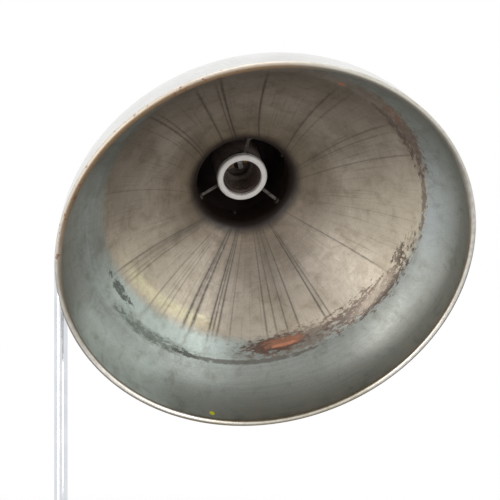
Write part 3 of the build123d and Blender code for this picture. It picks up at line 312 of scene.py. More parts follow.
# The skirt bends in to the crease, the dome bulges to the throat, and a fillet turns it up into the neck.
rise, fall = CREASE.y - SKIRT_TOP, SKIRT_RADIUS - CREASE.x
bend = (rise ** 2 + fall ** 2) / (2 * fall)
chord = DOME_TOP - CREASE
dome = (chord.length_squared / 4 + DOME_BULGE ** 2) / (2 * DOME_BULGE)
dome_centre = (CREASE + DOME_TOP) / 2 - Vector((chord.y, -chord.x)).normalized() * (dome - DOME_BULGE)
throat_x = DOME_TOP.x + NECK_FILLET
throat_y = dome_centre.y + math.sqrt((dome + NECK_FILLET) ** 2 - (throat_x - dome_centre.x) ** 2)
lean = math.degrees(math.atan2(throat_y - dome_centre.y, throat_x - dome_centre.x))
foot = math.degrees(math.atan2(CREASE.y - dome_centre.y, CREASE.x - dome_centre.x))

mesh = bmesh.new()
end = line(mesh, mesh.verts.new((SKIRT_RADIUS * MM, 0, BEAD_CENTRE[1] * MM)), (SKIRT_RADIUS, SKIRT_TOP))
fold = arc(mesh, end, (SKIRT_RADIUS - bend, SKIRT_TOP), math.degrees(math.asin(rise / bend)),
           SKIRT_STEPS)
end = arc(mesh, fold, dome_centre, lean - foot, DOME_STEPS)
end = arc(mesh, end, (throat_x, throat_y), -lean, THROAT_STEPS)
line(mesh, end, (DOME_TOP.x, NECK_TOP))
bmesh.ops.bevel(mesh, geom=[fold], offset=CREASE_SOFT * MM, offset_type="OFFSET", segments=CREASE_STEPS,
                profile=0.5, affect="VERTICES", material=-1)
revolve(mesh, SHADE_STEPS)
shell(mesh, SHADE_MIDDLE, SHADE_WALL)
shade_shell = finished("shade_shell", mesh, head)


def on_head(tree, where):
    """A point's place on the head's own axis in mm: the point, its depth, radius, turn and direction."""
    spot = add(tree, "Mapping", where, vector_type="TEXTURE",
               named={"Location": head.translation, "Rotation": head.to_euler(), "Scale": (MM, MM, MM)})
    parts = add(tree, "SeparateXYZ", spot)
    flat = add(tree, "CombineXYZ", parts.outputs["X"], parts.outputs["Y"], 0.0)
    radius = add(tree, "VectorMath", flat, operation="LENGTH").outputs["Value"]
    angle = add(tree, "Math", parts.outputs["Y"], parts.outputs["X"], operation="ARCTAN2")
    turn = add(tree, "Math", angle, operation="DEGREES")
    return spot, parts.outputs["Z"], radius, turn, add(tree, "VectorMath", flat, operation="NORMALIZE")


def ringed(tree, direction, depth, breaks, pitch):
    """Noise drawn out round the axis, as a spinning tool leaves it: its breaks in a turn, its pitch in mm."""
    up = add(tree, "CombineXYZ", 0.0, 0.0, add(tree, "Math", depth, pitch, operation="DIVIDE"))
    place = add(tree, "VectorMath", direction, (breaks, breaks, 0.0), up, operation="MULTIPLY_ADD")
    return add(tree, "TexNoise", place, named={"Scale": 1.0, "Detail": 4.0, "Roughness": 0.65})


# Plated outside of the shade: pale satin nickel with the spinning tool's rings 1.1 mm apart, bloomed in
# patches 33 mm across and a little scuffed.
outside, tree, shader, where = coat("bright_nickel_plate", Metallic=1.0)
_, depth, _, _, direction = on_head(tree, where)
rings = ringed(tree, direction, depth, 1.5, 1.1)
bloomed = add(tree, "TexNoise", where, named={"Scale": per(33), "Detail": 5.0, "Roughness": 0.6})
scuffs = add(tree, "TexNoise", where, named={"Scale": per(2.4), "Detail": 3.0, "Roughness": 0.7})
nickel = add(tree, "ValToRGB", bloomed, stops=((0.3, "#e1e0de"), (0.7, "#ececea")))
nickel = add(tree, "MixRGB", add(tree, "MapRange", scuffs, 0.66, 0.72, 0.0, 0.6), nickel, linear("#8b8377"))
bright = add(tree, "Math", add(tree, "MapRange", bloomed, 0.3, 0.75, 0.16, 0.3),
             add(tree, "MapRange", rings, 0.45, 0.8, 0.0, 0.12), operation="ADD")
surface(tree, shader, nickel, bright, rings, 0.12, 0.05)

# Worn inside of the shade: dull metal under tarnish, streaks and wear, with painted light and shade on some sides,
# placed by turn, radius and depth on the head's axis. Sizes are in mm: clouds 33, smudges 12, ragged edges 3.1,
# specks 0.8, tool lines 0.9.
inside, tree, shader, where = coat("worn_and_lit_plate_inside", Metallic=0.25)
spot, depth, radius, turn, direction = on_head(tree, where)
cloud = add(tree, "TexNoise", spot, named={"Scale": 1 / 33, "Detail": 5.0, "Roughness": 0.55})
ragged = add(tree, "TexNoise", spot, named={"Scale": 1 / 3.1, "Detail": 6.0, "Roughness": 0.7})
smudge = add(tree, "TexNoise", spot,
             named={"Scale": 1 / 12, "Detail": 7.0, "Roughness": 0.62, "Distortion": 0.6})
speck = add(tree, "TexNoise", spot, named={"Scale": 1 / 0.8, "Detail": 4.0, "Roughness": 0.7})
mottle = add(tree, "ValToRGB", smudge, stops=((0.3, "#cdc8bf"), (0.48, "#f2f2f0"), (0.62, "#ffffff")))
grime = add(tree, "ValToRGB", speck, stops=((0.32, "#b9b2a8"), (0.5, "#ffffff")))
mottle = add(tree, "MixRGB", 0.55, mottle, grime, blend_type="MULTIPLY")
spun = ringed(tree, direction, depth, 2.2, 0.9)

# Skirt: green grey, dull at the rim and paler towards the crease, with the spinning tool's lines.
skirt = add(tree, "ValToRGB", add(tree, "MapRange", depth, 4.0, 54.0, 0.0, 1.0),
            stops=((0.0, "#67665d"), (0.3, "#828680"), (0.7, "#92968f"), (1.0, "#989d97")))
lines = add(tree, "ValToRGB", spun, stops=((0.3, "#b0b0b0"), (0.5, "#dcdcdc"), (0.75, "#ffffff")))
skirt = add(tree, "MixRGB", 0.45, skirt, lines, blend_type="MULTIPLY")
stained = add(tree, "Math", add(tree, "MapRange", smudge, 0.42, 0.62, 0.0, 0.55),
              add(tree, "MapRange", depth, 44.0, 18.0, 0.0, 1.0), operation="MULTIPLY")
skirt = add(tree, "MixRGB", stained, skirt, linear("#6f675a"))

# Dome: brown grey tarnish in soft clouds, deepening towards the hot neck.
dome_tone = add(tree, "ValToRGB", cloud, stops=((0.3, "#968a7b"), (0.5, "#a4988a"), (0.7, "#b2a698")))
warm = add(tree, "ValToRGB", add(tree, "MapRange", radius, 45.0, 100.0, 0.0, 1.0),
           stops=((0.0, "#d3ccc0"), (0.6, "#ffffff")))
dome_tone = add(tree, "MixRGB", 1.0, dome_tone, warm, blend_type="MULTIPLY")
dome_tone = add(tree, "MixRGB", 0.3, dome_tone, lines, blend_type="MULTIPLY")


def apart(tree, turn, at):
    """How far a turn is past another, in degrees from -180 to 180."""
    ahead = add(tree, "Math", turn, at, operation="SUBTRACT")
    return add(tree, "Math", ahead, 180.0, -180.0, operation="WRAP")


def beside(tree, turn, at, full, none):
    """How near a turn is to another: 1 within the first half width, 0 beyond the second."""
    away = add(tree, "Math", apart(tree, turn, at), operation="ABSOLUTE")
    return add(tree, "MapRange", away, none, full, 0.0, 1.0, interpolation_type="SMOOTHSTEP")


def once_round(tree, turn, at):
    """A wave round the axis that is 1 at one turn and -1 on the other side."""
    angle = add(tree, "Math", add(tree, "Math", turn, at, operation="SUBTRACT"), operation="RADIANS")
    return add(tree, "Math", angle, operation="COSINE")


# The tarnish stops on a ragged circle that is not quite concentric with the crease.
TARNISH_RADIUS, TARNISH_SHIFT, TARNISH_TURN, TARNISH_RAGGED = 113.5, 9.0, -34.0, 8.0
lobe = once_round(tree, turn, TARNISH_TURN)
border = add(tree, "Math", lobe, TARNISH_SHIFT, TARNISH_RADIUS, operation="MULTIPLY_ADD")
jitter = add(tree, "Math", ragged, 0.5, operation="SUBTRACT")
border = add(tree, "Math", jitter, TARNISH_RAGGED, border, operation="MULTIPLY_ADD")
past = add(tree, "Math", radius, border, operation="SUBTRACT")
bare = add(tree, "MapRange", past, -4.0, 2.5, 0.0, 1.0, interpolation_type="SMOOTHSTEP")

# Three sides of the dome are painted paler, as painted light and sheen: turn, the half widths where that is full
# and none, the radii where it is none and full, and colour.
LIT_SIDES = ((156.0, 14.0, 44.0, 48.0, 96.0, "#d6cab6"), (30.0, 10.0, 40.0, 56.0, 112.0, "#cabeaa"),
         (90.0, 12.0, 36.0, 70.0, 118.0, "#c0b4a2"))
for at, full, none, low, high, tint in LIT_SIDES:
    lit_side = add(tree, "Math", beside(tree, turn, at, full, none),
               add(tree, "MapRange", radius, low, high, 0.0, 1.0), operation="MULTIPLY")
    dome_tone = add(tree, "MixRGB", lit_side, dome_tone, linear(tint))

# Over the lamp's upper side the dome is painted darker, as shade under the rim, more so towards the crease.
SHADED_TOP_TURN = -85.0
painted_top_shade = add(tree, "Math", beside(tree, turn, SHADED_TOP_TURN, 42.0, 82.0),
                add(tree, "MapRange", radius, 70.0, 112.0, 0.0, 0.6), operation="MULTIPLY")
dome_tone = add(tree, "MixRGB", painted_top_shade, dome_tone, linear("#40382f"))

# On the palest painted side, a strip along the tarnish's border is straw: a heat tint lifted by painted highlight.
STRAW_HIGHLIGHT_TURN, STRAW_HIGHLIGHT_INSET = 150.0, 7.0
straw_highlight = add(tree, "Math", add(tree, "Math", past, STRAW_HIGHLIGHT_INSET, operation="ADD"), operation="ABSOLUTE")
straw_highlight = add(tree, "MapRange", straw_highlight, 6.0, 0.5, 0.0, 0.9, interpolation_type="SMOOTHSTEP")
straw_highlight = add(tree, "Math", straw_highlight, beside(tree, turn, STRAW_HIGHLIGHT_TURN, 14.0, 34.0), operation="MULTIPLY")
dome_tone = add(tree, "MixRGB", straw_highlight, dome_tone, linear("#f2e9c6"))

# Sides of the skirt painted paler, as painted light and sheen, and darker, as painted shade over the top and a
# little at the bottom: turn, the half widths where that is full and none, two depths and the strength at each,
# and colour.
LIT_AND_SHADED_SIDES = ((148.0, 16.0, 46.0, 44.0, 52.0, 0.25, 0.95, "#ccd9d3"),
         (157.0, 10.0, 27.0, 44.0, 35.0, 0.0, 0.7, "#ccd9d3"),
         (10.0, 12.0, 44.0, 20.0, 44.0, 0.0, 0.85, "#b3babb"),
         (44.0, 12.0, 30.0, 20.0, 30.0, 0.05, 0.35, "#c4c6be"),
         (-42.0, 28.0, 54.0, 22.0, 44.0, 0.55, 0.55, "#5c5f5a"),
         (-105.0, 25.0, 50.0, 22.0, 44.0, 0.7, 0.7, "#4f4c44"),
         (95.0, 15.0, 40.0, 22.0, 44.0, 0.16, 0.16, "#5c5f5a"))
for at, full, none, low, high, by_low, by_high, tint in LIT_AND_SHADED_SIDES:
    side = add(tree, "Math", beside(tree, turn, at, full, none),
               add(tree, "MapRange", depth, low, high, by_low, by_high), operation="MULTIPLY")
    skirt = add(tree, "MixRGB", side, skirt, linear(tint))
colour = add(tree, "MixRGB", bare, dome_tone, skirt)

# Dark radial runs on the dome: turn, half width and strength. They spread from a point beside the axis, so
# a run's turn shifts with 1 / radius, and the turns listed are those at SWEEP_RADIUS.
RUNS = ((-151, 0.6, 0.4), (-121, 0.6, 0.4), (-115.7, 0.8, 0.8), (-113.3, 0.7, 0.7), (-97.5, 0.9, 0.85),
        (-90.2, 0.7, 0.7), (-88.2, 0.9, 1.0), (-71.5, 0.9, 0.95), (-45.5, 1.1, 0.7), (-40, 0.8, 0.4),
        (-21.7, 0.8, 0.6), (-18, 0.8, 0.45), (-7, 0.8, 0.5), (20.7, 0.5, 0.3), (43.7, 0.7, 0.8),
        (72, 0.7, 0.75), (74.2, 0.7, 1.0), (85.2, 0.7, 0.8), (90.2, 0.7, 0.7), (94.8, 0.7, 0.7),
        (98.8, 0.7, 0.7), (114.5, 0.6, 0.5), (119.9, 0.9, 0.9), (121.9, 0.8, 0.8), (123.6, 0.9, 1.0),
        (131.5, 1.4, 1.0), (135, 1.4, 1.0), (138.8, 0.6, 0.35), (145, 0.6, 0.5), (147.3, 0.6, 0.4),
        (152.5, 0.7, 0.55), (166.5, 0.7, 0.55), (168.5, 0.6, 0.45), (171.3, 0.6, 0.55), (173.8, 0.8, 0.75))
SWEEP, SWEEP_TURN, SWEEP_RADIUS = 1450.0, -5.0, 92.0
FIRST, SECTOR = -172, 60


def peaks(tree, turn, marks, low, span):
    """A ramp over a sector of turns that rises to a peak at each mark: its turn, half width and strength."""
    stops = [(0.0, (0, 0, 0, 1))]
    for at, wide, strength in marks:
        if low <= at < low + span:
            stops += [((at + side * wide - low) / span, (value, value, value, 1))
                      for side, value in ((-1, 0.0), (0, strength), (1, 0.0))]
    along = add(tree, "MapRange", turn, float(low), float(low + span), 0.0, 1.0)
    return add(tree, "ValToRGB", along, stops=stops)


inward = add(tree, "Math", -SWEEP, radius, operation="DIVIDE")
inward = add(tree, "Math", inward, SWEEP / SWEEP_RADIUS, operation="ADD")
combed = add(tree, "Math", once_round(tree, turn, SWEEP_TURN), inward, turn, operation="MULTIPLY_ADD")
combed = add(tree, "Math", combed, 180.0, -180.0, operation="WRAP")
runs = peaks(tree, combed, RUNS, FIRST, SECTOR)
for low in range(FIRST + SECTOR, FIRST + 360, SECTOR):
    runs = add(tree, "Math", runs, peaks(tree, combed, RUNS, low, SECTOR), operation="MAXIMUM")

# Faint smears lie between them, and broad washes behind them: turn, half width and strength.
combing = add(tree, "CombineXYZ", add(tree, "Math", combed, 0.9, operation="MULTIPLY"),
              add(tree, "Math", radius, 0.02, operation="MULTIPLY"), 0.0)
smear = add(tree, "TexNoise", combing, named={"Scale": 1.0, "Detail": 3.0, "Roughness": 0.6})
runs = add(tree, "Math", runs, add(tree, "MapRange", smear, 0.55, 0.8, 0.0, 0.5), operation="MAXIMUM")
WASHES = ((-110, 5, 0.3), (-89, 5, 0.3), (-73, 3, 0.3), (-47, 4, 0.3), (-22, 5, 0.3), (73, 3, 0.4),
          (91, 9, 0.4), (123, 4, 0.55), (134, 5, 0.8), (172, 6, 0.7))
wash = peaks(tree, combed, WASHES, -180, 360)
wash = add(tree, "Math", wash, add(tree, "MapRange", smear, 0.3, 0.6, 0.2, 1.0), operation="MULTIPLY")
wash = add(tree, "Math", wash, add(tree, "MapRange", radius, 100.0, 60.0, 0.3, 1.0), operation="MULTIPLY")
runs = add(tree, "Math", runs, wash, operation="MAXIMUM")

# Each run ends at a radius of its own, is a little broken, and is faint on the bare metal past the tarnish.
REACH_LEAST, REACH_MOST = 98.0, 124.0
reach_by = add(tree, "CombineXYZ", add(tree, "Math", combed, 0.35, operation="MULTIPLY"), 0.0, 0.0)
reach = add(tree, "TexNoise", reach_by, named={"Scale": 1.0})
reach = add(tree, "MapRange", reach, 0.3, 0.7, REACH_LEAST, REACH_MOST)
short = add(tree, "Math", radius, reach, operation="SUBTRACT")
runs = add(tree, "Math", runs, add(tree, "MapRange", short, 9.0, -9.0, 0.0, 1.0), operation="MULTIPLY")
runs = add(tree, "Math", runs, add(tree, "MapRange", ragged, 0.25, 0.5, 0.6, 1.0), operation="MULTIPLY")
runs = add(tree, "Math", runs, add(tree, "MapRange", past, -6.0, 3.0, 1.0, 0.15), operation="MULTIPLY")
colour = add(tree, "MixRGB", add(tree, "Math", runs, 0.95, operation="MULTIPLY"), colour, linear("#352d26"))

# Soot round the neck, with painted shade in the neck's recess.
SOOT_SHADE_EDGE, SOOT_SHADE_FULL = 46.0, 37.5
soot_and_shade = add(tree, "MapRange", radius, SOOT_SHADE_EDGE, SOOT_SHADE_FULL, 0.0, 1.0, interpolation_type="SMOOTHSTEP")
colour = add(tree, "MixRGB", soot_and_shade, colour, linear("#2a1e19"))

# Wear along the crease: turn and half width, radius and half width, colour, strength, and how torn it is.
WEAR = ((148.0, 28.0, 116.5, 4.5, "#7f8a7e", 0.5, 1.5), (169.0, 8.0, 109.5, 2.2, "#2f3531", 0.75, 6.5),
        (147.0, 18.0, 116.6, 2.6, "#525c52", 0.65, 6.0), (132.0, 5.0, 117.0, 2.2, "#363c38", 0.85, 5.0),
        (108.0, 34.0, 117.4, 1.9, "#55524a", 0.8, 2.5),
        (88.0, 26.0, 110.5, 6.5, "#6b5546", 0.6, 4.0), (96.5, 15.0, 109.8, 4.8, "#54382b", 0.85, 2.6),
        (93.5, 9.5, 109.4, 3.0, "#a06d52", 0.75, 2.4), (93.0, 6.5, 110.6, 0.9, "#d08a6c", 0.6, 2.4),
        (62.0, 16.0, 111.0, 4.6, "#544337", 0.8, 6.0),
        (52.0, 22.0, 113.5, 5.5, "#8a6c5a", 0.3, 3.5), (48.0, 22.0, 114.6, 3.8, "#57453a", 0.85, 6.5),
        (34.0, 6.0, 111.2, 2.2, "#57483c", 0.8, 6.0), (52.0, 13.0, 112.8, 2.2, "#aa9c8a", 0.75, 5.0),
        (8.0, 22.0, 118.5, 1.5, "#6a5745", 0.7, 6.0), (-24.0, 22.0, 119.0, 6.5, "#71604f", 0.5, 2.5),
        (-18.0, 16.0, 119.5, 4.5, "#5c4b42", 0.65, 5.5), (-27.0, 5.0, 120.5, 1.6, "#8a5a40", 0.4, 5.0),
        (-25.0, 17.0, 116.0, 1.6, "#4b4039", 0.6, 5.0), (-48.4, 1.5, 116.5, 1.4, "#b3622f", 0.6, 0.5))
torn_by = add(tree, "CombineXYZ", add(tree, "Math", turn, 0.34, operation="MULTIPLY"),
              add(tree, "Math", radius, 0.6, operation="MULTIPLY"), 0.0)
scuff = add(tree, "TexNoise", torn_by, named={"Scale": 1.0, "Detail": 8.0, "Roughness": 0.74})
scuff = add(tree, "Math", scuff, 0.5, operation="SUBTRACT")
for at, wide, mid, deep, tint, strength, torn in WEAR:
    along = add(tree, "Math", apart(tree, turn, at), wide, operation="DIVIDE")
    off = add(tree, "Math", add(tree, "Math", radius, mid, operation="SUBTRACT"), deep, operation="DIVIDE")
    away = add(tree, "CombineXYZ", along, off, 0.0)
    away = add(tree, "VectorMath", away, operation="LENGTH").outputs["Value"]
    away = add(tree, "Math", scuff, -torn, away, operation="MULTIPLY_ADD")
    patch = add(tree, "MapRange", away, 1.0, 0.6, 0.0, strength, interpolation_type="SMOOTHSTEP")
    colour = add(tree, "MixRGB", patch, colour, linear(tint))
colour = add(tree, "MixRGB", 0.8, colour, mottle, blend_type="MULTIPLY")

# A fleck of yellow paint low on the skirt, where a degree of turn is DEGREE mm.
FLECK_TURN, FLECK_DEPTH, FLECK_EDGE, FLECK_FULL = 121.5, 10.8, 2.2, 1.7
DEGREE = 2.4
along = add(tree, "Math", apart(tree, turn, FLECK_TURN), DEGREE, operation="MULTIPLY")
off = add(tree, "Math", depth, FLECK_DEPTH, operation="SUBTRACT")
fleck = add(tree, "CombineXYZ", along, off, 0.0)
fleck = add(tree, "VectorMath", fleck, operation="LENGTH").outputs["Value"]
fleck = add(tree, "MapRange", fleck, FLECK_EDGE, FLECK_FULL, 0.0, 1.0)
colour = add(tree, "MixRGB", fleck, colour, linear("#d2cd1e"))
surface(tree, shader, colour, add(tree, "MapRange", ragged, 0.3, 0.7, 0.38, 0.55), spun, 0.25, 0.05)
put(shade_shell, [outside, inside], "head", "shade_metal", "shade")

# Worn bead: the sheet's rolled edge, knocks 4.3 mm apart. Its bright crown is a painted highlight where it faces
# the lamp's front; the crown leans with the turn, and low on one side it lies inwards. Both flanks are browned
# and painted darker, as reflections of the dark inside, and over the top it is dulled and rusted.
RUST_TURN, TOP_TURN, LOW_TURN, IN_TURN = -125.0, -80.0, 80.0, 152.0
DARK_LEFT_TURN, GREY_TURN, GOLD_SHADE_TURN = -176.0, -30.0, 98.0
HIGHLIGHT_LEAN, HIGHLIGHT_IN, BEAD_STEPS = -0.75, 0.45, 28
bead_metal, tree, shader, where = coat("worn_and_lit_nickel_bead", Metallic=0.75)
_, depth, radius, turn, _ = on_head(tree, where)
knocks = add(tree, "TexNoise", where, named={"Scale": per(4.3), "Detail": 5.0, "Roughness": 0.65})
bead_colour = add(tree, "ValToRGB", knocks, stops=((0.3, "#ddd6c9"), (0.6, "#f6f2e9")))
outward = add(tree, "Math", radius, BEAD_CENTRE[0], operation="SUBTRACT")
sunk = add(tree, "Math", depth, BEAD_CENTRE[1], operation="SUBTRACT")
top = beside(tree, turn, TOP_TURN, 60.0, 100.0)
# The painted highlight's crown leans with the turn, as the lamp's front sees the bead from further inside low
# down.
slope = add(tree, "Math", once_round(tree, turn, LOW_TURN), HIGHLIGHT_LEAN, operation="MULTIPLY")
edge = add(tree, "Math", sunk, slope, outward, operation="MULTIPLY_ADD")
turned_in = beside(tree, turn, IN_TURN, 22.0, 45.0)
edge = add(tree, "Math", turned_in, HIGHLIGHT_IN * BEAD_RADIUS, edge, operation="MULTIPLY_ADD")
# Both flanks are painted darker, as reflections of the dark inside, and browned.
outer = add(tree, "MapRange", edge, 0.55 * BEAD_RADIUS, 0.95 * BEAD_RADIUS, 0.0, 0.85)
inner = add(tree, "MapRange", edge, -0.1 * BEAD_RADIUS, -0.6 * BEAD_RADIUS, 0.0, 0.85)
flanks = add(tree, "Math", add(tree, "Math", inner, outer, operation="MAXIMUM"),
             add(tree, "MapRange", top, 0.0, 1.0, 1.0, 0.2), operation="MULTIPLY")
bead_colour = add(tree, "MixRGB", flanks, bead_colour, linear("#58462f"))
# Low down the bead is painted a golden shade, tan metal dulled all round but where it faces the front, which stays
# a painted highlight.
golden_shade = add(tree, "Math", outward, sunk, operation="ADD")
golden_shade = add(tree, "MapRange", golden_shade, -1.9 * BEAD_RADIUS, -0.9 * BEAD_RADIUS, 0.0, 0.8)
golden_shade = add(tree, "Math", golden_shade, beside(tree, turn, GOLD_SHADE_TURN, 20.0, 38.0), operation="MULTIPLY")
bead_colour = add(tree, "MixRGB", golden_shade, bead_colour, linear("#7c7258"))
# Over the top the bead is dulled brown, its inner flank painted darker as a reflection of the dark inside.
dull_and_reflected = add(tree, "MapRange", edge, 1.1 * BEAD_RADIUS, -0.6 * BEAD_RADIUS, 0.2, 0.95)
browned = add(tree, "MixRGB", beside(tree, turn, GREY_TURN, 28.0, 50.0), linear("#80674a"),
              linear("#68645a"))
bead_colour = add(tree, "MixRGB", add(tree, "Math", dull_and_reflected, top, operation="MULTIPLY"), bead_colour, browned)
# At the far left the bead is a little darker.
darker_left = add(tree, "MapRange", beside(tree, turn, DARK_LEFT_TURN, 8.0, 24.0), 0.0, 1.0, 0.0, 0.45)
bead_colour = add(tree, "MixRGB", darker_left, bead_colour, linear("#7a7263"))
rusty = add(tree, "MapRange", beside(tree, turn, RUST_TURN, 25.0, 70.0), 0.0, 1.0, 0.67, 0.58)
rust = add(tree, "Math", knocks, rusty, operation="SUBTRACT")
bead_colour = add(tree, "MixRGB", add(tree, "MapRange", rust, 0.0, 0.06, 0.0, 0.8), bead_colour, linear("#7d5238"))
satin = add(tree, "Math", add(tree, "MapRange", knocks, 0.3, 0.7, 0.32, 0.5),
            add(tree, "MapRange", top, 0.0, 1.0, 0.0, 0.2), operation="ADD")
surface(tree, shader, bead_colour, satin, knocks, 0.2, 0.1)
mesh = bmesh.new()
bmesh.ops.create_circle(mesh, segments=BEAD_STEPS, radius=BEAD_RADIUS * MM,
                        matrix=Matrix.Translation((BEAD_CENTRE[0] * MM, 0, BEAD_CENTRE[1] * MM))
                        @ Matrix.Rotation(math.pi / 2, 4, "X"))
revolve(mesh, SHADE_STEPS)
put(finished("shade_bead", mesh, head), [bead_metal], "head", "shade_metal")


# Neck cap: a cup of spun brass that slides over the shade's neck, held by three screws.
# It is plated outside; inside, years of heat have left it black with soot.
CAP_RADIUS, CAP_FOOT, CAP_TOP = 37.2, 127.0, 182.0
CAP_SHOULDER, CAP_WALL, CAP_HOLE, CAP_STEPS = 16.0, 0.9, 5.2, 96

# Sooted metal: black brown and dull, in flakes 4 mm across.
sooted, tree, shader, where = coat("sooted_metal", Metallic=0.2)
flakes = add(tree, "TexNoise", where, named={"Scale": per(4), "Detail": 6.0, "Roughness": 0.7})
surface(tree, shader, add(tree, "ValToRGB", flakes, stops=((0.35, "#1d1512"), (0.7, "#3d2f28"))),
        add(tree, "MapRange", flakes, 0.3, 0.7, 0.6, 0.8), flakes, 0.4, 0.1)
mesh = profile([(CAP_RADIUS, CAP_FOOT, 0), (CAP_RADIUS, CAP_TOP, CAP_SHOULDER), (CAP_HOLE, CAP_TOP, 0)])
revolve(mesh, CAP_STEPS)
shell(mesh, Vector((0, 0, (CAP_FOOT + CAP_TOP) / 2 * MM)), CAP_WALL)
put(finished("neck_cup", mesh, head), [outside, sooted], "head", "shade_metal", "neck_cap")


# Lamp holder: the white ring is thermoset, the screw shell rolled from thin brass that heat has browned.
# The spider is pressed steel and the insert fired clay, both smoked, and the contact is nickelled strip.

# White thermoset: smooth and shiny, yellowed in clouds 5 mm across.
ring_glaze, tree, shader, where = coat("yellowed_white_thermoset")
age = add(tree, "TexNoise", where, named={"Scale": per(5), "Detail": 5.0})
surface(tree, shader, add(tree, "ValToRGB", age, stops=((0.3, "#ece5df"), (0.6, "#f5f1ed"))),
        add(tree, "MapRange", age, 0.3, 0.7, 0.25, 0.4), age, 0.1, 0.05)
dress(ring_glaze, "shade_ring")

# Brown phenolic moulding, painted paler as painted light that lifts it out of the neck's shade, in clouds 3.8 mm
# across.
lightened_phenolic, tree, shader, where = coat("lightened_brown_phenolic")
phenolic_clouds = add(tree, "TexNoise", where, named={"Scale": per(3.8), "Detail": 6.0, "Roughness": 0.65})
surface(tree, shader, add(tree, "ValToRGB", phenolic_clouds, stops=((0.35, "#86726a"), (0.7, "#b5a198"))),
        add(tree, "MapRange", phenolic_clouds, 0.3, 0.7, 0.35, 0.55), phenolic_clouds, 0.2, 0.05)
dress(lightened_phenolic, "holder_body")

# Nickelled strip: grey spring metal with dull spots 2 mm across.
nickelled, tree, shader, where = coat("nickelled_strip", Metallic=1.0)
spots = add(tree, "TexNoise", where, named={"Scale": per(2), "Detail": 5.0})
surface(tree, shader, add(tree, "ValToRGB", spots, stops=((0.3, "#6b6660"), (0.7, "#a5a19b"))),
        add(tree, "MapRange", spots, 0.3, 0.7, 0.45, 0.25), spots, 0.2, 0.05)
dress(nickelled, "centre_contact")

# Smoked steel: dark grey strip and screws, browned by the lamp's heat in patches 3.3 mm across.
smoked_steel, tree, shader, where = coat("smoked_steel_strip", Metallic=0.8)
smoke = add(tree, "TexNoise", where, named={"Scale": per(3.3), "Detail": 6.0, "Roughness": 0.65})
surface(tree, shader, add(tree, "ValToRGB", smoke, stops=((0.35, "#3b3630"), (0.7, "#77716a"))),
        add(tree, "MapRange", smoke, 0.3, 0.7, 0.55, 0.38), smoke, 0.25, 0.05)
dress(smoked_steel, "spider", "spider_rivets", "cap_screws")

# Smoked clay: dark brown, unglazed and dull, in patches 2.4 mm across.
smoked_clay, tree, shader, where = coat("smoked_fired_clay")
smoke = add(tree, "TexNoise", where, named={"Scale": per(2.4), "Detail": 6.0, "Roughness": 0.65})
surface(tree, shader, add(tree, "ValToRGB", smoke, stops=((0.3, "#3d342d"), (0.7, "#6a5d52"))),
        add(tree, "MapRange", smoke, 0.3, 0.7, 0.5, 0.75), smoke, 0.3, 0.1)
dress(smoked_clay, "holder_insert")

# Heat browned brass: a dull purple brown skin with scale in spots 2.2 mm across. The shell's thread is a
# wave that is turned once round while it climbs one pitch, and cut off level at both ends.
SHELL_RADIUS, SHELL_FRONT, SHELL_BACK = 13.55, 127.0, 144.0
SHELL_WALL, SHELL_STEPS, SHELL_SEAM, SHELL_CUT = 0.3, 72, 0.01, 0.001
THREAD_PITCH, THREAD_RISE, THREAD_POINTS = 3.6, 0.22, 10
browned_brass, tree, shader, where = coat("heat_browned_brass", Metallic=0.4)
scale = add(tree, "TexNoise", where, named={"Scale": per(2.2), "Detail": 6.0})
surface(tree, shader, add(tree, "ValToRGB", scale, stops=((0.3, "#594b44"), (0.7, "#84736a"))),
        add(tree, "MapRange", scale, 0.3, 0.7, 0.5, 0.35), scale, 0.3, 0.05)
turns = round((SHELL_BACK - SHELL_FRONT) / THREAD_PITCH) + 2
wave = [(SHELL_RADIUS + THREAD_RISE * math.cos(2 * math.pi * k / THREAD_POINTS),
         SHELL_FRONT + THREAD_PITCH * (k / THREAD_POINTS - 1), 0) for k in range(turns * THREAD_POINTS + 1)]
mesh = profile(wave)
bmesh.ops.spin(mesh, geom=mesh.verts[:] + mesh.edges[:], cent=(0, 0, 0), axis=(0, 0, 1), angle=2 * math.pi,
               steps=SHELL_STEPS, dvec=(0, 0, THREAD_PITCH * MM / SHELL_STEPS))
bmesh.ops.remove_doubles(mesh, verts=mesh.verts, dist=SHELL_SEAM * MM)
for level, side in ((SHELL_FRONT, -1), (SHELL_BACK, 1)):
    bmesh.ops.bisect_plane(mesh, geom=mesh.verts[:] + mesh.edges[:] + mesh.faces[:], dist=SHELL_CUT * MM,
                           plane_co=(0, 0, level * MM), plane_no=(0, 0, side), clear_outer=True)
shell(mesh, Vector((0, 0, (SHELL_FRONT + SHELL_BACK) / 2 * MM)), SHELL_WALL)
put(finished("lamp_screw_shell", mesh, head), [browned_brass, browned_brass], "head", "brass", "screw_shell")


# Studio: a pale floor that fades into a white surround, soft lamps above and in front, and the camera.
# Metal sees the white backdrop level with it, a dimmer ceiling and a dimmer floor further off.
FLOOR_RADIUS, FLOOR_STEPS, FADE_FROM, FADE_TO = 1.6, 96, 0.15, 0.95
mesh = bmesh.new()
bmesh.ops.create_circle(mesh, cap_ends=True, segments=FLOOR_STEPS, radius=FLOOR_RADIUS)
floor = finished("studio_floor", mesh)

# White paper: matt and even, with a faint tooth 17 mm across.
paper, tree, shader, where = coat("white_paper", Roughness=0.9)
fade = add(tree, "VectorMath", where, operation="LENGTH").outputs["Value"]
fade = add(tree, "MapRange", fade, FADE_FROM, FADE_TO, 0.0, 1.0, interpolation_type="SMOOTHERSTEP")
tone = add(tree, "TexNoise", where, named={"Scale": per(17)})
tone = add(tree, "ValToRGB", tone, stops=((0.3, "#f0f0f0"), (0.7, "#f4f4f4")))
tree.links.new(tone.outputs[0], shader.inputs["Base Color"])
mixed = add(tree, "MixShader", fade, shader.outputs[0], add(tree, "BsdfTransparent"))
tree.links.new(mixed.outputs[0], tree.nodes["Material Output"].inputs["Surface"])
floor.data.materials.append(paper)

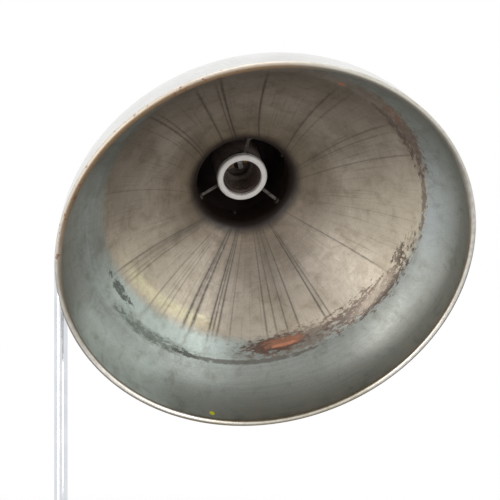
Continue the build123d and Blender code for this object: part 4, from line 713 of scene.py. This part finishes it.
# The surround is white where it is seen, and lights the lamp more softly.
SURROUND_SEEN, SURROUND_LIGHT = 1.0, 0.3
world = bpy.data.worlds.new("white_surround")
bpy.context.scene.world = world
world.use_nodes = True
tree = world.node_tree
rays = add(tree, "LightPath")
seen = add(tree, "Math", rays.outputs["Is Camera Ray"], rays.outputs["Is Glossy Ray"], operation="MAXIMUM")
seen = add(tree, "Math", seen, rays.outputs["Is Transmission Ray"], operation="MAXIMUM")
look = add(tree, "SeparateXYZ", add(tree, "TexCoord").outputs["Generated"])
overhead = add(tree, "Math", look.outputs["Y"], -0.5, look.outputs["Z"], operation="MULTIPLY_ADD")
ceiling = add(tree, "MapRange", overhead, 0.5, 0.95, 0.0, 1.0)
far_floor = add(tree, "MapRange", look.outputs["Z"], -0.26, -0.5, 0.0, 1.0)
dim = add(tree, "Math", ceiling, far_floor, operation="MAXIMUM")
dim = add(tree, "Math", dim, rays.outputs["Is Glossy Ray"], operation="MULTIPLY")
ground = tree.nodes["Background"]
tree.links.new(add(tree, "MixRGB", dim, (1, 1, 1, 1), linear("#8c8f96")).outputs[0], ground.inputs["Color"])
strength = add(tree, "MapRange", seen, 0.0, 1.0, SURROUND_LIGHT, SURROUND_SEEN)
tree.links.new(strength.outputs[0], ground.inputs["Strength"])


def softbox(name, place, aim, wide, tall, power):
    """A soft lamp at a place, turned to its aim."""
    lamp = bpy.data.lights.new(name, "AREA")
    lamp.shape = "RECTANGLE"
    lamp.size = wide
    lamp.size_y = tall
    lamp.energy = power
    made = bpy.data.objects.new(name, lamp)
    made.location = place
    made.rotation_euler = (Vector(aim) - Vector(place)).to_track_quat("-Z", "Y").to_euler()
    bpy.context.scene.collection.objects.link(made)


SHADE_PLACE, LAMP_MIDDLE = (0.18, -0.15, 0.5), (0.1, -0.1, 0.3)
softbox("top_softbox", (0.1, -0.45, 1.9), LAMP_MIDDLE, 1.4, 1.2, 17.0)
softbox("left_softbox", (-1.05, -1.4, 0.55), SHADE_PLACE, 0.7, 1.6, 24.0)
softbox("right_softbox", (1.3, -1.35, 0.6), SHADE_PLACE, 0.5, 1.6, 13.0)

CAMERA_PLACE, CAMERA_LENS, CAMERA_SENSOR = (0.16927, -0.89527, 0.43251), 72.0, 36.0
camera = bpy.data.objects.new("photo_camera", bpy.data.cameras.new("photo_camera"))
camera.location = CAMERA_PLACE
camera.rotation_euler = (math.pi / 2, 0, 0)
camera.data.lens = CAMERA_LENS
camera.data.sensor_width = CAMERA_SENSOR
bpy.context.scene.collection.objects.link(camera)
bpy.context.scene.camera = camera
bpy.context.scene.view_settings.view_transform = "Standard"
